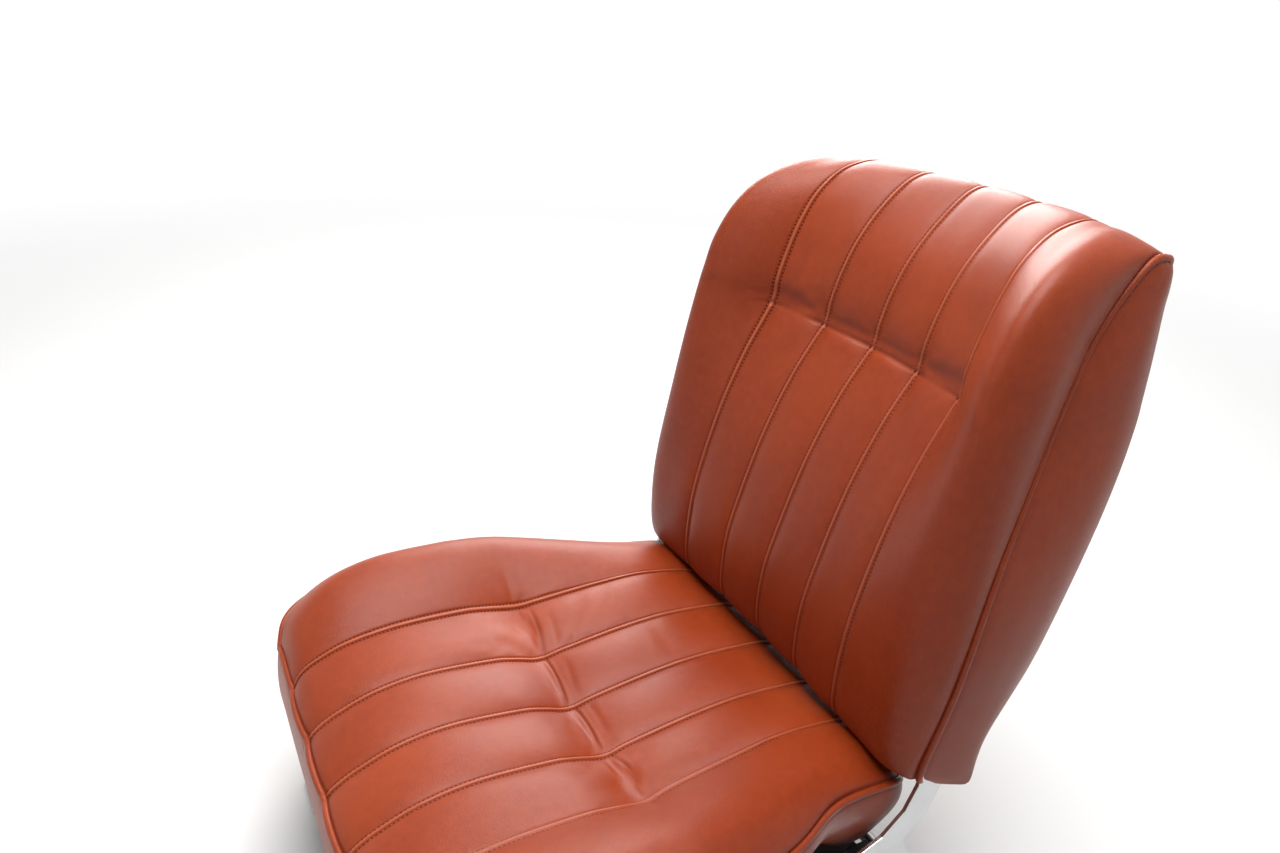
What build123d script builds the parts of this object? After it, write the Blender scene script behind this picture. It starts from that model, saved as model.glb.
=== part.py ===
"""Front seat of an open two-seat car.

A leather cushion stands on a pressed steel base that slides on two floor runners. The backrest is carried
by two bent side arms. They turn on a pivot bolt under each side of the cushion, so the backrest tips forward
over it, and at rest each arm lies on a stepped cam that sets the rake.

Frame: millimetres, +Z up, the seat faces -Y, +X is the sitter's left. The origin is on the floor, at the
centre of the four floor bolts.
"""
import os
from math import atan2, cos, degrees, hypot, radians, sin, sqrt

from build123d import *

# Floor runners
RAIL_X = 185.0  # runner centre line from the seat's middle
RAIL_LENGTH = 370.0
RAIL_WIDTH = 34.0
RAIL_HEIGHT = 18.0
RAIL_WALL = 2.5
RAIL_SLOT = 16.0  # open width between the rolled lips
NOTCH_PITCH = 16.0
NOTCH_SIZE = (7.0, 6.0)  # along the rail, height
NOTCH_COUNT = 9
RUNNING_GAP = 0.5  # between slider and rail

# Feet under the rail ends
FOOT_HEIGHT = 22.0
FOOT_WIDTH = 44.0
FOOT_SHEET = 3.0
FOOT_PAD = 40.0  # length under the rail
FOOT_FLANGE = 38.0  # length on the floor
FOOT_BEND = 4.0
BOLT_HOLE = 9.0
BOLT_OUT = 20.0  # bolt centre beyond the rail's end

# Sliders
SLIDER_LENGTH = 230.0
SLIDER_SHEET = 3.0
SLIDER_WEB = 6.0
SLIDER_RISE = 6.0  # rail top to the underside of the slider's top flange

# Base frame
MEMBER_HEIGHT = 70.0
MEMBER_SHEET = 3.0
MEMBER_FACE_X = 203.0  # outer face of the side members
MEMBER_FRONT = 205.0
MEMBER_REAR = 203.0
MEMBER_FLANGE = 28.0
MEMBER_EAR = 12.0  # plate left round the pivot and the cam shaft
MEMBER_SLOT = (60.0, 20.0)  # lightening slots, length and height
MEMBER_SLOT_Y = (-58.0, 39.0)
BASE_TUBE_R = 11.0
BASE_TUBE_WALL = 2.0
BASE_TUBE_Y = (-150.0, 128.0)
BASE_TUBE_UP = 32.0  # above the side member's lower edge

# Cushion frame and springs
FRAME_BAR = 8.0
FRAME_SIDE_X = 179.0
FRAME_FRONT = 215.0
FRAME_REAR = 168.0
SPRING_X = (-144.0, -72.0, 0.0, 72.0, 144.0)
SPRING_HALF_WIDTH = 22.0
SPRING_BENDS = 17
SPRING_WIRE = 4.0

# Cushion: its sections across the seat, from the rear to the front
CUSHION_SKIRT = 38.0  # how far the cover hangs below the cushion's underside, around the base
CUSHION_WELL_X = 206.0
CUSHION_WELL_FRONT = 218.0
CUSHION_CUT = ((24, -1), (60, 78), (104, 78), (142, 58), (172, 66), (215, 82))  # y, height above the hem
CUSHION_SIDE_BULGE = 3.0
CUSHION_SEAM_X = 136.0  # outermost seam
CUSHION_SECTIONS = (
    # y, then z at the middle and the outer seam, crest x and z, shoulder, edge x and z, foot x
    (207, 186, 187, 150, 190, 3, 178, 187, 172),
    (190, 200, 203, 155, 205, 4, 187, 198, 178),
    (168, 212, 216, 161, 219, 5, 192, 209, 182),
    (112, 216, 227, 172, 233, 6, 198, 216, 186),
    (62, 213, 225, 190, 237, 6, 221, 213, 204),
    (4, 203, 219, 203, 243, 7, 238, 218, 234),
    (-25, 199, 217, 207, 247, 8, 243, 219, 239),
    (-75, 210, 224, 210, 249, 8, 248, 218, 244),
    (-134, 216, 225, 210, 247, 8, 249, 216, 245),
    (-178, 210, 219, 206, 240, 8, 246, 211, 242),
    (-208, 199, 210, 196, 229, 7, 234, 206, 230),
    (-226, 190, 199, 186, 213, 5, 217, 201, 213),
    (-237, 180, 181, 180, 188, 3, 198, 183, 193),
)

# Pivot and arms
PIVOT_Y = 99.0
PIVOT_DROP = 12.0  # below the side member's upper edge
PIVOT_R = 5.0
PIVOT_CLEARANCE = 0.1
PIVOT_HEAD_R = 11.0
PIVOT_HEAD = 6.0
PIVOT_NUT = 6.0  # thickness of the nut inside the side member
PIVOT_NUT_R = 8.0
ARM_GAP = 6.0  # side member to arm
ARM_SHEET = 4.0
ARM_SIDE_GAP = 0.5
ARM_WIDTH = 28.0
ARM_BOSS_R = 13.0
ARM_POINTS = ((20, 31), (68, 52), (91, 76), (101, 104), (104, 138))  # y, z from the pivot along the arm
ARM_HEEL = (85.0, 31.0)  # y, z from the pivot of the heel that rests on the cam
ARM_HEEL_R = 9.0
ARM_ROUND = 1.2

# Rake cam
CAM_STEPS = (17.0, 18.5, 20.0, 21.5, 23.0)  # distance of each flat from the shaft's axis
CAM_ACTIVE = 2
CAM_STEP_ANGLE = 50.0
CAM_THICKNESS = 7.0
CAM_SEAT_GAP = 0.3
CAM_HUB_R = 10.0
SHAFT_R = 6.0
LEVER_SHEET = 4.0
LEVER_TIP = (-58.0, 8.0)  # y, z from the shaft
LEVER_HUB_R = 12.0
LEVER_TIP_R = 6.5
KNOB_R = 9.0
KNOB_LENGTH = 16.0

# Slide latch
LATCH_R = 4.0
LATCH_Y = -112.0
LATCH_UP = 15.0  # above the side member's lower edge
LATCH_HANDLE_X = 150.0
LATCH_HANDLE_REACH = 18.0  # handle's end beyond the cushion's front edge
LATCH_KNOB_R = 10.0
LATCH_KNOB_LENGTH = 34.0
PAWL_SHEET = 4.0
PAWL_WIDTH = 16.0
PAWL_GAP = 4.0  # pawl plate to the rail's side
PAWL_TIP_GAP = 1.0

# Backrest: its level sections, from the bottom to the top
BACK_SEAM_X = 123.0  # outermost seam
BACK_SECTIONS = (
    # z, then y at the middle and the outer seam, crest x and y, shoulder, edge x and y, side x, rear x
    (211, 197, 192, 186, 187, 5, 207, 196, 215, 202),
    (223, 179, 173, 187, 168, 6, 210, 185, 216, 203),
    (245, 169, 163, 188, 159, 7, 213, 184, 216, 204),
    (290, 168, 162, 190, 156, 8, 216, 193, 216, 204),
    (345, 179, 169, 191, 160, 9, 216, 203, 215, 203),
    (410, 200, 186, 190, 168, 10, 209, 221, 209, 200),
    (465, 225, 207, 188, 176, 12, 200, 244, 203, 197),
    (510, 252, 231, 186, 184, 14, 191, 263, 198, 193),
    (548, 259, 237, 184, 191, 15, 187, 277, 193, 189),
    (585, 277, 249, 182, 206, 14, 183, 297, 189, 186),
    (615, 301, 266, 177, 232, 9, 180, 322, 184, 183),
    (632, 320, 286, 166, 262, 6, 173, 340, 174, 171),
    (651, 352, 338, 140, 318, 2, 144, 340, 145, 144),
)
BACK_REAR = ((362.0, 615.0), (341.0, 424.0), (268.0, 234.0))  # y, z on the rear face, top to bottom
BACK_TOP_ROLL = ((-10.0, 23.0), (-40.0, 33.0))  # y, z from the rear face's top, along the rolled upper edge
BACK_HEM = ((244.0, 228.0), (238.0, 212.0))  # y, z along the rear lower corner
BACK_INNER_Y = 100.0  # in front of every section
BACK_SLOT_GAP = 1.0
BACK_TUBE_GAP = 0.3
BOARD_SHEET = 4.0
BOARD_HALF_WIDTH = 176.0
BOARD_CORNER = 45.0
BOARD_MARGIN = (14.0, 18.0)  # board's lower and upper edge to the rear face's ends
BACK_TUBE_R = 10.0
BACK_TUBE = (104.0, 124.0)  # y, z from the pivot

# Heights that follow from the sizes above
rail_z = FOOT_HEIGHT
rail_top = rail_z + RAIL_HEIGHT
slider_top = rail_top + SLIDER_RISE + SLIDER_SHEET
member_z = slider_top
member_top = member_z + MEMBER_HEIGHT
cushion_z = member_top + FRAME_BAR
pivot_z = member_top - PIVOT_DROP
arm_x = MEMBER_FACE_X + ARM_GAP


def left_and_right(shape, name):
    """One piece on the left as made, and its mirror image on the right."""
    return {f"{name}_left": shape, f"{name}_right": mirror(shape, about=Plane.YZ)}


def side_plate(outline, x, thickness):
    """A flat plate whose outline is drawn in y and z, standing at x."""
    return extrude(Plane.YZ.offset(x) * outline, amount=thickness)


def cross_bar(y, z, radius, x_from, x_to):
    """A round bar along X."""
    return extrude(Plane.YZ.offset(x_from) * Pos(y, z) * Circle(radius), amount=x_to - x_from)


def long_bar(x, z, radius, y_from, y_to):
    """A round bar along Y."""
    return extrude(Plane.XZ.offset(-y_to) * Pos(x, z) * Circle(radius), amount=y_to - y_from)


def block(x, y, z):
    """A box given by its lowest and highest value on each axis."""
    middle = [(low + high) / 2 for low, high in (x, y, z)]
    return Pos(*middle) * Box(x[1] - x[0], y[1] - y[0], z[1] - z[0])


def link(a, radius_a, b, radius_b):
    """Outline of a flat link: two round ends joined by their common tangents."""
    ends = [Pos(*a) * Circle(radius_a), Pos(*b) * Circle(radius_b)]
    return make_hull(ends[0].edges() + ends[1].edges())


def floor_rail():
    """Rolled channel with inturned lips, and latch notches along its inner wall."""
    half, z0, z1 = RAIL_WIDTH / 2, rail_z, rail_top
    outer = block((RAIL_X - half, RAIL_X + half), (-RAIL_LENGTH / 2, RAIL_LENGTH / 2), (z0, z1))
    inside = block(
        (RAIL_X - half + RAIL_WALL, RAIL_X + half - RAIL_WALL),
        (-RAIL_LENGTH, RAIL_LENGTH),
        (z0 + RAIL_WALL, z1 - RAIL_WALL),
    )
    slot = block(
        (RAIL_X - RAIL_SLOT / 2, RAIL_X + RAIL_SLOT / 2),
        (-RAIL_LENGTH, RAIL_LENGTH),
        (z1 - 2 * RAIL_WALL, z1 + 1),
    )
    rail = outer - inside - slot
    length, height = NOTCH_SIZE
    middle = (z0 + z1) / 2
    for i in range(NOTCH_COUNT):
        y = LATCH_Y + (i - (NOTCH_COUNT - 1) / 2) * NOTCH_PITCH
        if abs(y) + length / 2 > RAIL_LENGTH / 2 - RAIL_WALL:
            continue
        rail -= block(
            (RAIL_X - half - 1, RAIL_X - half + RAIL_WALL + 1),
            (y - length / 2, y + length / 2),
            (middle - height / 2, middle + height / 2),
        )
    return rail


def foot():
    """Pressed step under the rear end of a rail, bolted to the floor behind it."""
    end = RAIL_LENGTH / 2
    path = FilletPolyline(
        (end - FOOT_PAD, FOOT_HEIGHT - FOOT_SHEET / 2),
        (end + FOOT_SHEET / 2, FOOT_HEIGHT - FOOT_SHEET / 2),
        (end + FOOT_SHEET / 2, FOOT_SHEET / 2),
        (end + FOOT_FLANGE, FOOT_SHEET / 2),
        radius=FOOT_BEND,
    )
    step = side_plate(trace(path, FOOT_SHEET), RAIL_X - FOOT_WIDTH / 2, FOOT_WIDTH)
    return step - Pos(RAIL_X, end + BOLT_OUT, 0) * Cylinder(BOLT_HOLE / 2, 4 * FOOT_SHEET)


def slider():
    """Upper runner: a flange under the rail's lips, a web through the slot and a flange under the base."""
    inner_half = RAIL_WIDTH / 2 - RAIL_WALL - RUNNING_GAP
    low = rail_z + RAIL_WALL + RUNNING_GAP
    lip = rail_top - RAIL_WALL - RUNNING_GAP
    span = (-SLIDER_LENGTH / 2, SLIDER_LENGTH / 2)
    sheet = SLIDER_SHEET
    shape = block((RAIL_X - inner_half, RAIL_X + inner_half), span, (low, low + sheet))
    shape += block((RAIL_X - inner_half, RAIL_X - inner_half + sheet), span, (low, lip))
    shape += block((RAIL_X + inner_half - sheet, RAIL_X + inner_half), span, (low, lip))
    shape += block((RAIL_X - SLIDER_WEB / 2, RAIL_X + SLIDER_WEB / 2), span, (low, slider_top))
    shape += block((RAIL_X - RAIL_WIDTH / 2, RAIL_X + RAIL_WIDTH / 2), span, (slider_top - sheet, slider_top))
    return shape


def side_member():
    """Pressed channel, open inwards, with an ear for the pivot bolt and one for the cam shaft."""
    x0, x1 = MEMBER_FACE_X - MEMBER_SHEET, MEMBER_FACE_X
    span = (-MEMBER_FRONT, MEMBER_REAR)
    outline = Pos((MEMBER_REAR - MEMBER_FRONT) / 2, (member_z + member_top) / 2) * RectangleRounded(
        MEMBER_FRONT + MEMBER_REAR, MEMBER_HEIGHT, MEMBER_HEIGHT / 4
    )
    outline += Pos(PIVOT_Y, pivot_z) * Circle(MEMBER_EAR)
    outline += Pos(*cam_centre()) * Circle(MEMBER_EAR)
    web = side_plate(outline, x0, MEMBER_SHEET)
    trim = MEMBER_HEIGHT / 4
    flange_x = (MEMBER_FACE_X - MEMBER_FLANGE, x1)
    flange_y = (span[0] + trim, span[1] - trim)
    web += block(flange_x, flange_y, (member_top - MEMBER_SHEET, member_top))
    web += block((RAIL_X - RAIL_WIDTH / 2, x1), flange_y, (member_z, member_z + MEMBER_SHEET))
    middle = (member_z + member_top) / 2
    for y in MEMBER_SLOT_Y:
        web -= side_plate(Pos(y, middle) * SlotOverall(*MEMBER_SLOT), x0 - 1, MEMBER_SHEET + 2)
    web -= cross_bar(PIVOT_Y, pivot_z, PIVOT_R, x0 - 1, x1 + 1)
    web -= cross_bar(*cam_centre(), SHAFT_R + PIVOT_CLEARANCE, x0 - 1, x1 + 1)
    web -= cross_bar(LATCH_Y, member_z + LATCH_UP, LATCH_R + PIVOT_CLEARANCE, x0 - 1, x1 + 1)
    return web


def base_tubes():
    """Two cross tubes welded between the side members."""
    reach = MEMBER_FACE_X - MEMBER_SHEET
    tubes = []
    for y in BASE_TUBE_Y:
        z = member_z + BASE_TUBE_UP
        tube = cross_bar(y, z, BASE_TUBE_R, -reach, reach)
        tubes.append(tube - cross_bar(y, z, BASE_TUBE_R - BASE_TUBE_WALL, -reach - 1, reach + 1))
    return Compound(children=tubes)


def cushion_frame_sides():
    """Square bars along both sides of the cushion's underside, lying on the side members."""
    z = (member_top, member_top + FRAME_BAR)
    half = FRAME_BAR / 2
    bar = block((FRAME_SIDE_X - half, FRAME_SIDE_X + half), (-FRAME_FRONT, FRAME_REAR), z)
    return Compound(children=[bar, mirror(bar, about=Plane.YZ)])


def cushion_frame_ends():
    """Front and rear bars that the springs hang between."""
    z = (member_top, member_top + FRAME_BAR)
    reach = FRAME_SIDE_X - FRAME_BAR / 2
    bars = [
        block((-reach, reach), (-FRAME_FRONT, -FRAME_FRONT + FRAME_BAR), z),
        block((-reach, reach), (FRAME_REAR - FRAME_BAR, FRAME_REAR), z),
    ]
    return Compound(children=bars)


def serpentine(front, rear):
    """Corner points of one spring: a straight lead, then square bends to either side."""
    pitch = (rear - front) / (SPRING_BENDS + 1)
    points = [(0.0, front), (0.0, front + pitch / 2)]
    side = SPRING_HALF_WIDTH
    for i in range(SPRING_BENDS):
        y = front + pitch * (i + 0.5)
        points += [(side, y), (side, y + pitch)]
        side = -side
    points += [(0.0, rear - pitch / 2), (0.0, rear)]
    return points


def cushion_springs():
    """Sinuous springs: one wire bent to and fro, from the front bar to the rear bar."""
    front, rear = -FRAME_FRONT + FRAME_BAR, FRAME_REAR - FRAME_BAR
    pitch = (rear - front) / (SPRING_BENDS + 1)
    wire = trace(FilletPolyline(*serpentine(front, rear), radius=pitch * 0.42), SPRING_WIRE)
    z = member_top + FRAME_BAR / 2
    spring = Pos(0, 0, z - SPRING_WIRE / 2) * extrude(wire, amount=SPRING_WIRE)
    return Compound(children=[Pos(x, 0, 0) * spring for x in SPRING_X])


def pad_section(seam, middle, edges):
    """Closed outline across a padded part: its edges run from the outer seam round to the middle behind."""
    across = ThreePointArc((-seam[0], seam[1]), (0, middle), seam)
    return make_face([across] + edges + [mirror(edge, about=Plane.YZ) for edge in edges])


def cushion():
    """Padded cushion: dished between its side crests, with rolled sides and a cover hung round the base.

    The cover is cut up at the rear corners, clear of the arms.
    """
    z = cushion_z - CUSHION_SKIRT
    faces = []
    for y, middle, seam, crest_x, crest, shoulder, edge_x, edge, foot in CUSHION_SECTIONS:
        outline = pad_section(
            (CUSHION_SEAM_X, seam),
            middle,
            [
                Line((CUSHION_SEAM_X, seam), (crest_x, crest)),
                ThreePointArc(
                    (crest_x, crest), ((crest_x + edge_x) / 2 + shoulder, (crest + edge) / 2), (edge_x, edge)
                ),
                ThreePointArc(
                    (edge_x, edge), ((edge_x + foot) / 2 + CUSHION_SIDE_BULGE, (edge + z) / 2), (foot, z)
                ),
                Line((foot, z), (0, z)),
            ],
        )
        faces.append(Plane.XZ.offset(-y) * outline)
    body = loft(faces)
    front, rear = CUSHION_SECTIONS[-1][0], CUSHION_SECTIONS[0][0]
    well_x = CUSHION_WELL_X
    body -= block((-well_x, well_x), (-CUSHION_WELL_FRONT, rear + 1), (z - 1, cushion_z))
    side = [(y, z + up) for y, up in CUSHION_CUT]
    cut = make_face(Polyline((side[0][0], z - 2), *side, (side[-1][0], z - 2), close=True))
    inner = FRAME_SIDE_X + FRAME_BAR / 2
    notch = side_plate(cut, inner, -front)
    return body - notch - mirror(notch, about=Plane.YZ)


def pivot_bolt():
    """Shouldered bolt with a domed head, fixed in the side member."""
    inner = MEMBER_FACE_X - MEMBER_SHEET - PIVOT_NUT
    bolt = cross_bar(PIVOT_Y, pivot_z, PIVOT_R, inner, arm_x + ARM_SHEET + ARM_SIDE_GAP)
    bolt += cross_bar(PIVOT_Y, pivot_z, ARM_BOSS_R - 2, MEMBER_FACE_X, arm_x - ARM_SIDE_GAP)
    bolt += cross_bar(PIVOT_Y, pivot_z, PIVOT_NUT_R, inner, inner + PIVOT_NUT)
    head_x = arm_x + ARM_SHEET + ARM_SIDE_GAP
    head = cross_bar(PIVOT_Y, pivot_z, PIVOT_HEAD_R, head_x, head_x + PIVOT_HEAD)
    outer = head.edges().filter_by(GeomType.CIRCLE).sort_by(Axis.X)[-1]
    return bolt + fillet(outer, PIVOT_HEAD * 0.7)


def from_pivot(y, z):
    """A point given from the pivot, in the seat's frame."""
    return (PIVOT_Y + y, pivot_z + z)


def arm_points():
    """Points along the middle of the arm, in y and z."""
    return [from_pivot(0, 0)] + [from_pivot(y, z) for y, z in ARM_POINTS]


def arm():
    """Bent side arm, from the pivot bolt up into the backrest's side, with a heel for the cam."""
    points = arm_points()
    radii = [ARM_BOSS_R] + [ARM_WIDTH / 2] * (len(points) - 1)
    outline = link(points[0], radii[0], points[1], radii[1])
    for i in range(1, len(points) - 1):
        outline += link(points[i], radii[i], points[i + 1], radii[i + 1])
    outline += link(points[2], ARM_WIDTH / 2, from_pivot(*ARM_HEEL), ARM_HEEL_R)
    plate = side_plate(outline, arm_x, ARM_SHEET)
    rim = plate.faces().sort_by(Axis.X)[-1].outer_wire().edges()
    plate = fillet(rim, ARM_ROUND)
    return plate - cross_bar(PIVOT_Y, pivot_z, PIVOT_R + PIVOT_CLEARANCE, arm_x - 1, arm_x + ARM_SHEET + 1)


def cam_line():
    """Direction from the arm's heel to the cam shaft: the heel moves that way as the backrest leans back."""
    y, z = ARM_HEEL
    reach = hypot(y, z)
    return z / reach, -y / reach


def cam_centre():
    """Place of the cam shaft: the active flat lies just under the arm's heel."""
    along = cam_line()
    drop = ARM_HEEL_R + CAM_SEAT_GAP + CAM_STEPS[CAM_ACTIVE]
    heel = from_pivot(*ARM_HEEL)
    return (heel[0] + drop * along[0], heel[1] + drop * along[1])


def rake_cam():
    """Stepped cam: five flats, each further from the shaft than the last."""
    y, z = cam_centre()
    along = cam_line()
    facing = degrees(atan2(-along[1], -along[0]))
    angles = [facing + (i - CAM_ACTIVE) * CAM_STEP_ANGLE for i in range(len(CAM_STEPS))]

    def corner(i, j):
        """Where the flats i and j meet."""
        a, b, p, q = radians(angles[i]), radians(angles[j]), CAM_STEPS[i], CAM_STEPS[j]
        det = cos(a) * sin(b) - sin(a) * cos(b)
        return ((p * sin(b) - q * sin(a)) / det, (q * cos(a) - p * cos(b)) / det)

    def end(i, turn):
        """Free end of the first or last flat."""
        a, p, half = radians(angles[i]), CAM_STEPS[i], CAM_HUB_R * 0.8
        return (p * cos(a) - turn * half * sin(a), p * sin(a) + turn * half * cos(a))

    last = len(CAM_STEPS) - 1
    points = [(0.0, 0.0), end(0, -1)] + [corner(i, i + 1) for i in range(last)] + [end(last, 1)]
    outline = make_face(Polyline(*points, close=True)) + Circle(CAM_HUB_R)
    middle = arm_x + ARM_SHEET / 2
    cam = side_plate(Pos(y, z) * outline, middle - CAM_THICKNESS / 2, CAM_THICKNESS)
    cam += cross_bar(y, z, CAM_HUB_R, MEMBER_FACE_X + ARM_SIDE_GAP, middle)
    return cam - cross_bar(y, z, SHAFT_R, MEMBER_FACE_X, middle + CAM_THICKNESS)


def rake_shaft():
    """Cross shaft that turns both cams together."""
    reach = arm_x + ARM_SHEET / 2 + CAM_THICKNESS / 2
    return cross_bar(*cam_centre(), SHAFT_R, -reach, reach)


def lever_x():
    """Inner face of the rake lever."""
    return arm_x + ARM_SHEET / 2 + CAM_THICKNESS / 2


def rake_lever():
    """Flat lever on the left end of the cam shaft."""
    y, z = cam_centre()
    tip = (y + LEVER_TIP[0], z + LEVER_TIP[1])
    lever = side_plate(link((y, z), LEVER_HUB_R, tip, LEVER_TIP_R), lever_x(), LEVER_SHEET)
    rim = lever.faces().sort_by(Axis.X)[-1].outer_wire().edges()
    return fillet(rim, 1.0)


def rake_knob():
    """Round knob on the lever's tip."""
    y, z = cam_centre()
    x = lever_x() + LEVER_SHEET
    knob = cross_bar(y + LEVER_TIP[0], z + LEVER_TIP[1], KNOB_R, x, x + KNOB_LENGTH)
    knob = fillet(knob.edges().filter_by(GeomType.CIRCLE).sort_by(Axis.X)[-1], KNOB_R * 0.7)
    neck = knob.edges().filter_by(GeomType.CIRCLE).sort_by(Axis.X)[0]
    return fillet(neck, KNOB_R * 0.35)


def latch_bar():
    """Cross bar with a pawl beside each rail and a handle that reaches forward."""
    z = member_z + LATCH_UP
    bar = cross_bar(LATCH_Y, z, LATCH_R, -MEMBER_FACE_X, MEMBER_FACE_X)
    rail_side = RAIL_X - RAIL_WIDTH / 2
    outer = rail_side - PAWL_GAP
    middle = (rail_z + rail_top) / 2
    pawl = block(
        (outer - PAWL_SHEET, outer),
        (LATCH_Y - PAWL_WIDTH / 2, LATCH_Y + PAWL_WIDTH / 2),
        (middle - NOTCH_SIZE[1], z + LATCH_R),
    )
    length, height = NOTCH_SIZE
    pawl += block(
        (outer - 1, rail_side - PAWL_TIP_GAP),
        (LATCH_Y - length / 2 + 1, LATCH_Y + length / 2 - 1),
        (middle - height / 2 + 1, middle + height / 2 - 1),
    )
    bar += pawl
    bar += mirror(pawl, about=Plane.YZ)
    return bar + long_bar(LATCH_HANDLE_X, z, LATCH_R, handle_end(), LATCH_Y)


def handle_end():
    """Front end of the latch handle."""
    return CUSHION_SECTIONS[-1][0] - LATCH_HANDLE_REACH


def latch_knob():
    """Grip on the latch handle's front end."""
    z = member_z + LATCH_UP
    end = handle_end()
    grip = long_bar(LATCH_HANDLE_X, z, LATCH_KNOB_R, end - LATCH_KNOB_LENGTH, end)
    rims = grip.edges().filter_by(GeomType.CIRCLE).sort_by(Axis.Y)
    return fillet(rims, LATCH_KNOB_R * 0.45)


def back_depth(z):
    """Depth of the rear face at a height: on the circle through its three points, flat above the topmost."""
    (y0, z0), (y1, z1), (y2, z2) = BACK_REAR
    z = min(z, z0)
    a = y0 * y0 + z0 * z0
    b = y1 * y1 + z1 * z1
    c = y2 * y2 + z2 * z2
    d = 2 * (y0 * (z1 - z2) + y1 * (z2 - z0) + y2 * (z0 - z1))
    centre_y = (a * (z1 - z2) + b * (z2 - z0) + c * (z0 - z1)) / d
    centre_z = (a * (y2 - y1) + b * (y0 - y2) + c * (y1 - y0)) / d
    radius = hypot(y0 - centre_y, z0 - centre_z)
    return centre_y + sqrt(radius * radius - (z - centre_z) ** 2)


def backrest():
    """Padded backrest: level sections lofted, then cut to its side outline, with slots for the arms."""
    faces = []
    for z, middle, seam, crest_x, crest, shoulder, edge_x, edge, side_x, rear_x in BACK_SECTIONS:
        rear = back_depth(z) + 1
        outline = pad_section(
            (BACK_SEAM_X, seam),
            middle,
            [
                Line((BACK_SEAM_X, seam), (crest_x, crest)),
                ThreePointArc(
                    (crest_x, crest), ((crest_x + edge_x) / 2 + shoulder, (crest + edge) / 2), (edge_x, edge)
                ),
                ThreePointArc((edge_x, edge), (side_x, (edge + rear) / 2), (rear_x, rear)),
                Line((rear_x, rear), (0, rear)),
            ],
        )
        faces.append(Pos(0, 0, z) * outline)
    body = loft(faces)
    top, middle, low = BACK_REAR
    roll, roll_end = [(top[0] + y, top[1] + z) for y, z in BACK_TOP_ROLL]
    hem, corner = BACK_HEM
    section = make_face(
        [
            ThreePointArc(low, middle, top),
            ThreePointArc(top, roll, roll_end),
            Line(roll_end, (BACK_INNER_Y, roll_end[1])),
            Line((BACK_INNER_Y, roll_end[1]), (BACK_INNER_Y, corner[1])),
            Line((BACK_INNER_Y, corner[1]), corner),
            Line(corner, hem),
            Line(hem, low),
        ]
    )
    reach = 1.2 * max(side_x for *_, side_x, _ in BACK_SECTIONS)
    body &= side_plate(section, -reach, 2 * reach)
    body -= cross_bar(*from_pivot(*BACK_TUBE), BACK_TUBE_R + BACK_TUBE_GAP, -arm_x, arm_x)
    points = arm_points()
    reach = ARM_WIDTH / 2 + BACK_SLOT_GAP
    slot = link(points[-2], reach, points[-1], reach) + link(points[-3], reach, points[-2], reach)
    slot = side_plate(slot, arm_x - BACK_SLOT_GAP, ARM_SHEET + 2 * BACK_SLOT_GAP)
    return body - slot - mirror(slot, about=Plane.YZ)


def back_board():
    """Covered board that closes the backrest's rear."""
    curve = list(BACK_REAR)
    behind = [(y + BOARD_SHEET, z) for y, z in curve]
    strip = make_face(
        [
            ThreePointArc(*curve),
            Line(curve[2], behind[2]),
            ThreePointArc(*reversed(behind)),
            Line(behind[0], curve[0]),
        ]
    )
    low, high = curve[2][1] + BOARD_MARGIN[0], curve[0][1] - BOARD_MARGIN[1]
    face = Pos(0, (low + high) / 2) * RectangleRounded(2 * BOARD_HALF_WIDTH, high - low, BOARD_CORNER)
    deep = max(y for y, _ in behind) + 10
    shell = side_plate(strip, -BOARD_HALF_WIDTH, 2 * BOARD_HALF_WIDTH)
    return shell & extrude(Plane.XZ.offset(-deep) * face, amount=deep)


def back_tube():
    """Lower cross tube of the backrest's frame, welded between the arms."""
    return cross_bar(*from_pivot(*BACK_TUBE), BACK_TUBE_R, -arm_x, arm_x)


def seat():
    """Every piece of the seat by its name."""
    rear_foot = foot()
    pieces = {}
    pieces.update(left_and_right(floor_rail(), "floor_rail"))
    pieces.update(left_and_right(rear_foot, "foot_rear"))
    pieces.update(left_and_right(mirror(rear_foot, about=Plane.XZ), "foot_front"))
    pieces.update(left_and_right(slider(), "slider"))
    pieces.update(left_and_right(side_member(), "side_member"))
    pieces["base_tubes"] = base_tubes()
    pieces["cushion_frame_sides"] = cushion_frame_sides()
    pieces["cushion_frame_ends"] = cushion_frame_ends()
    pieces["cushion_springs"] = cushion_springs()
    pieces["cushion"] = cushion()
    pieces.update(left_and_right(pivot_bolt(), "pivot_bolt"))
    pieces.update(left_and_right(rake_cam(), "rake_cam"))
    pieces["rake_shaft"] = rake_shaft()
    pieces["rake_lever"] = rake_lever()
    pieces["rake_knob"] = rake_knob()
    pieces["latch_bar"] = latch_bar()
    pieces["latch_knob"] = latch_knob()
    pieces["backrest"] = backrest()
    pieces["back_board"] = back_board()
    pieces["back_tube"] = back_tube()
    pieces.update(left_and_right(arm(), "arm"))
    return pieces


os.makedirs("parts", exist_ok=True)
for name, piece in seat().items():
    export_step(piece, f"parts/{name}.step")
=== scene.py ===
"""Front seat of an open two-seater: pleated leather over sprung foam, a painted base, chrome side arms."""
import math

import bmesh
import bpy
import numpy as np
from mathutils import Matrix, Vector


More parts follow.
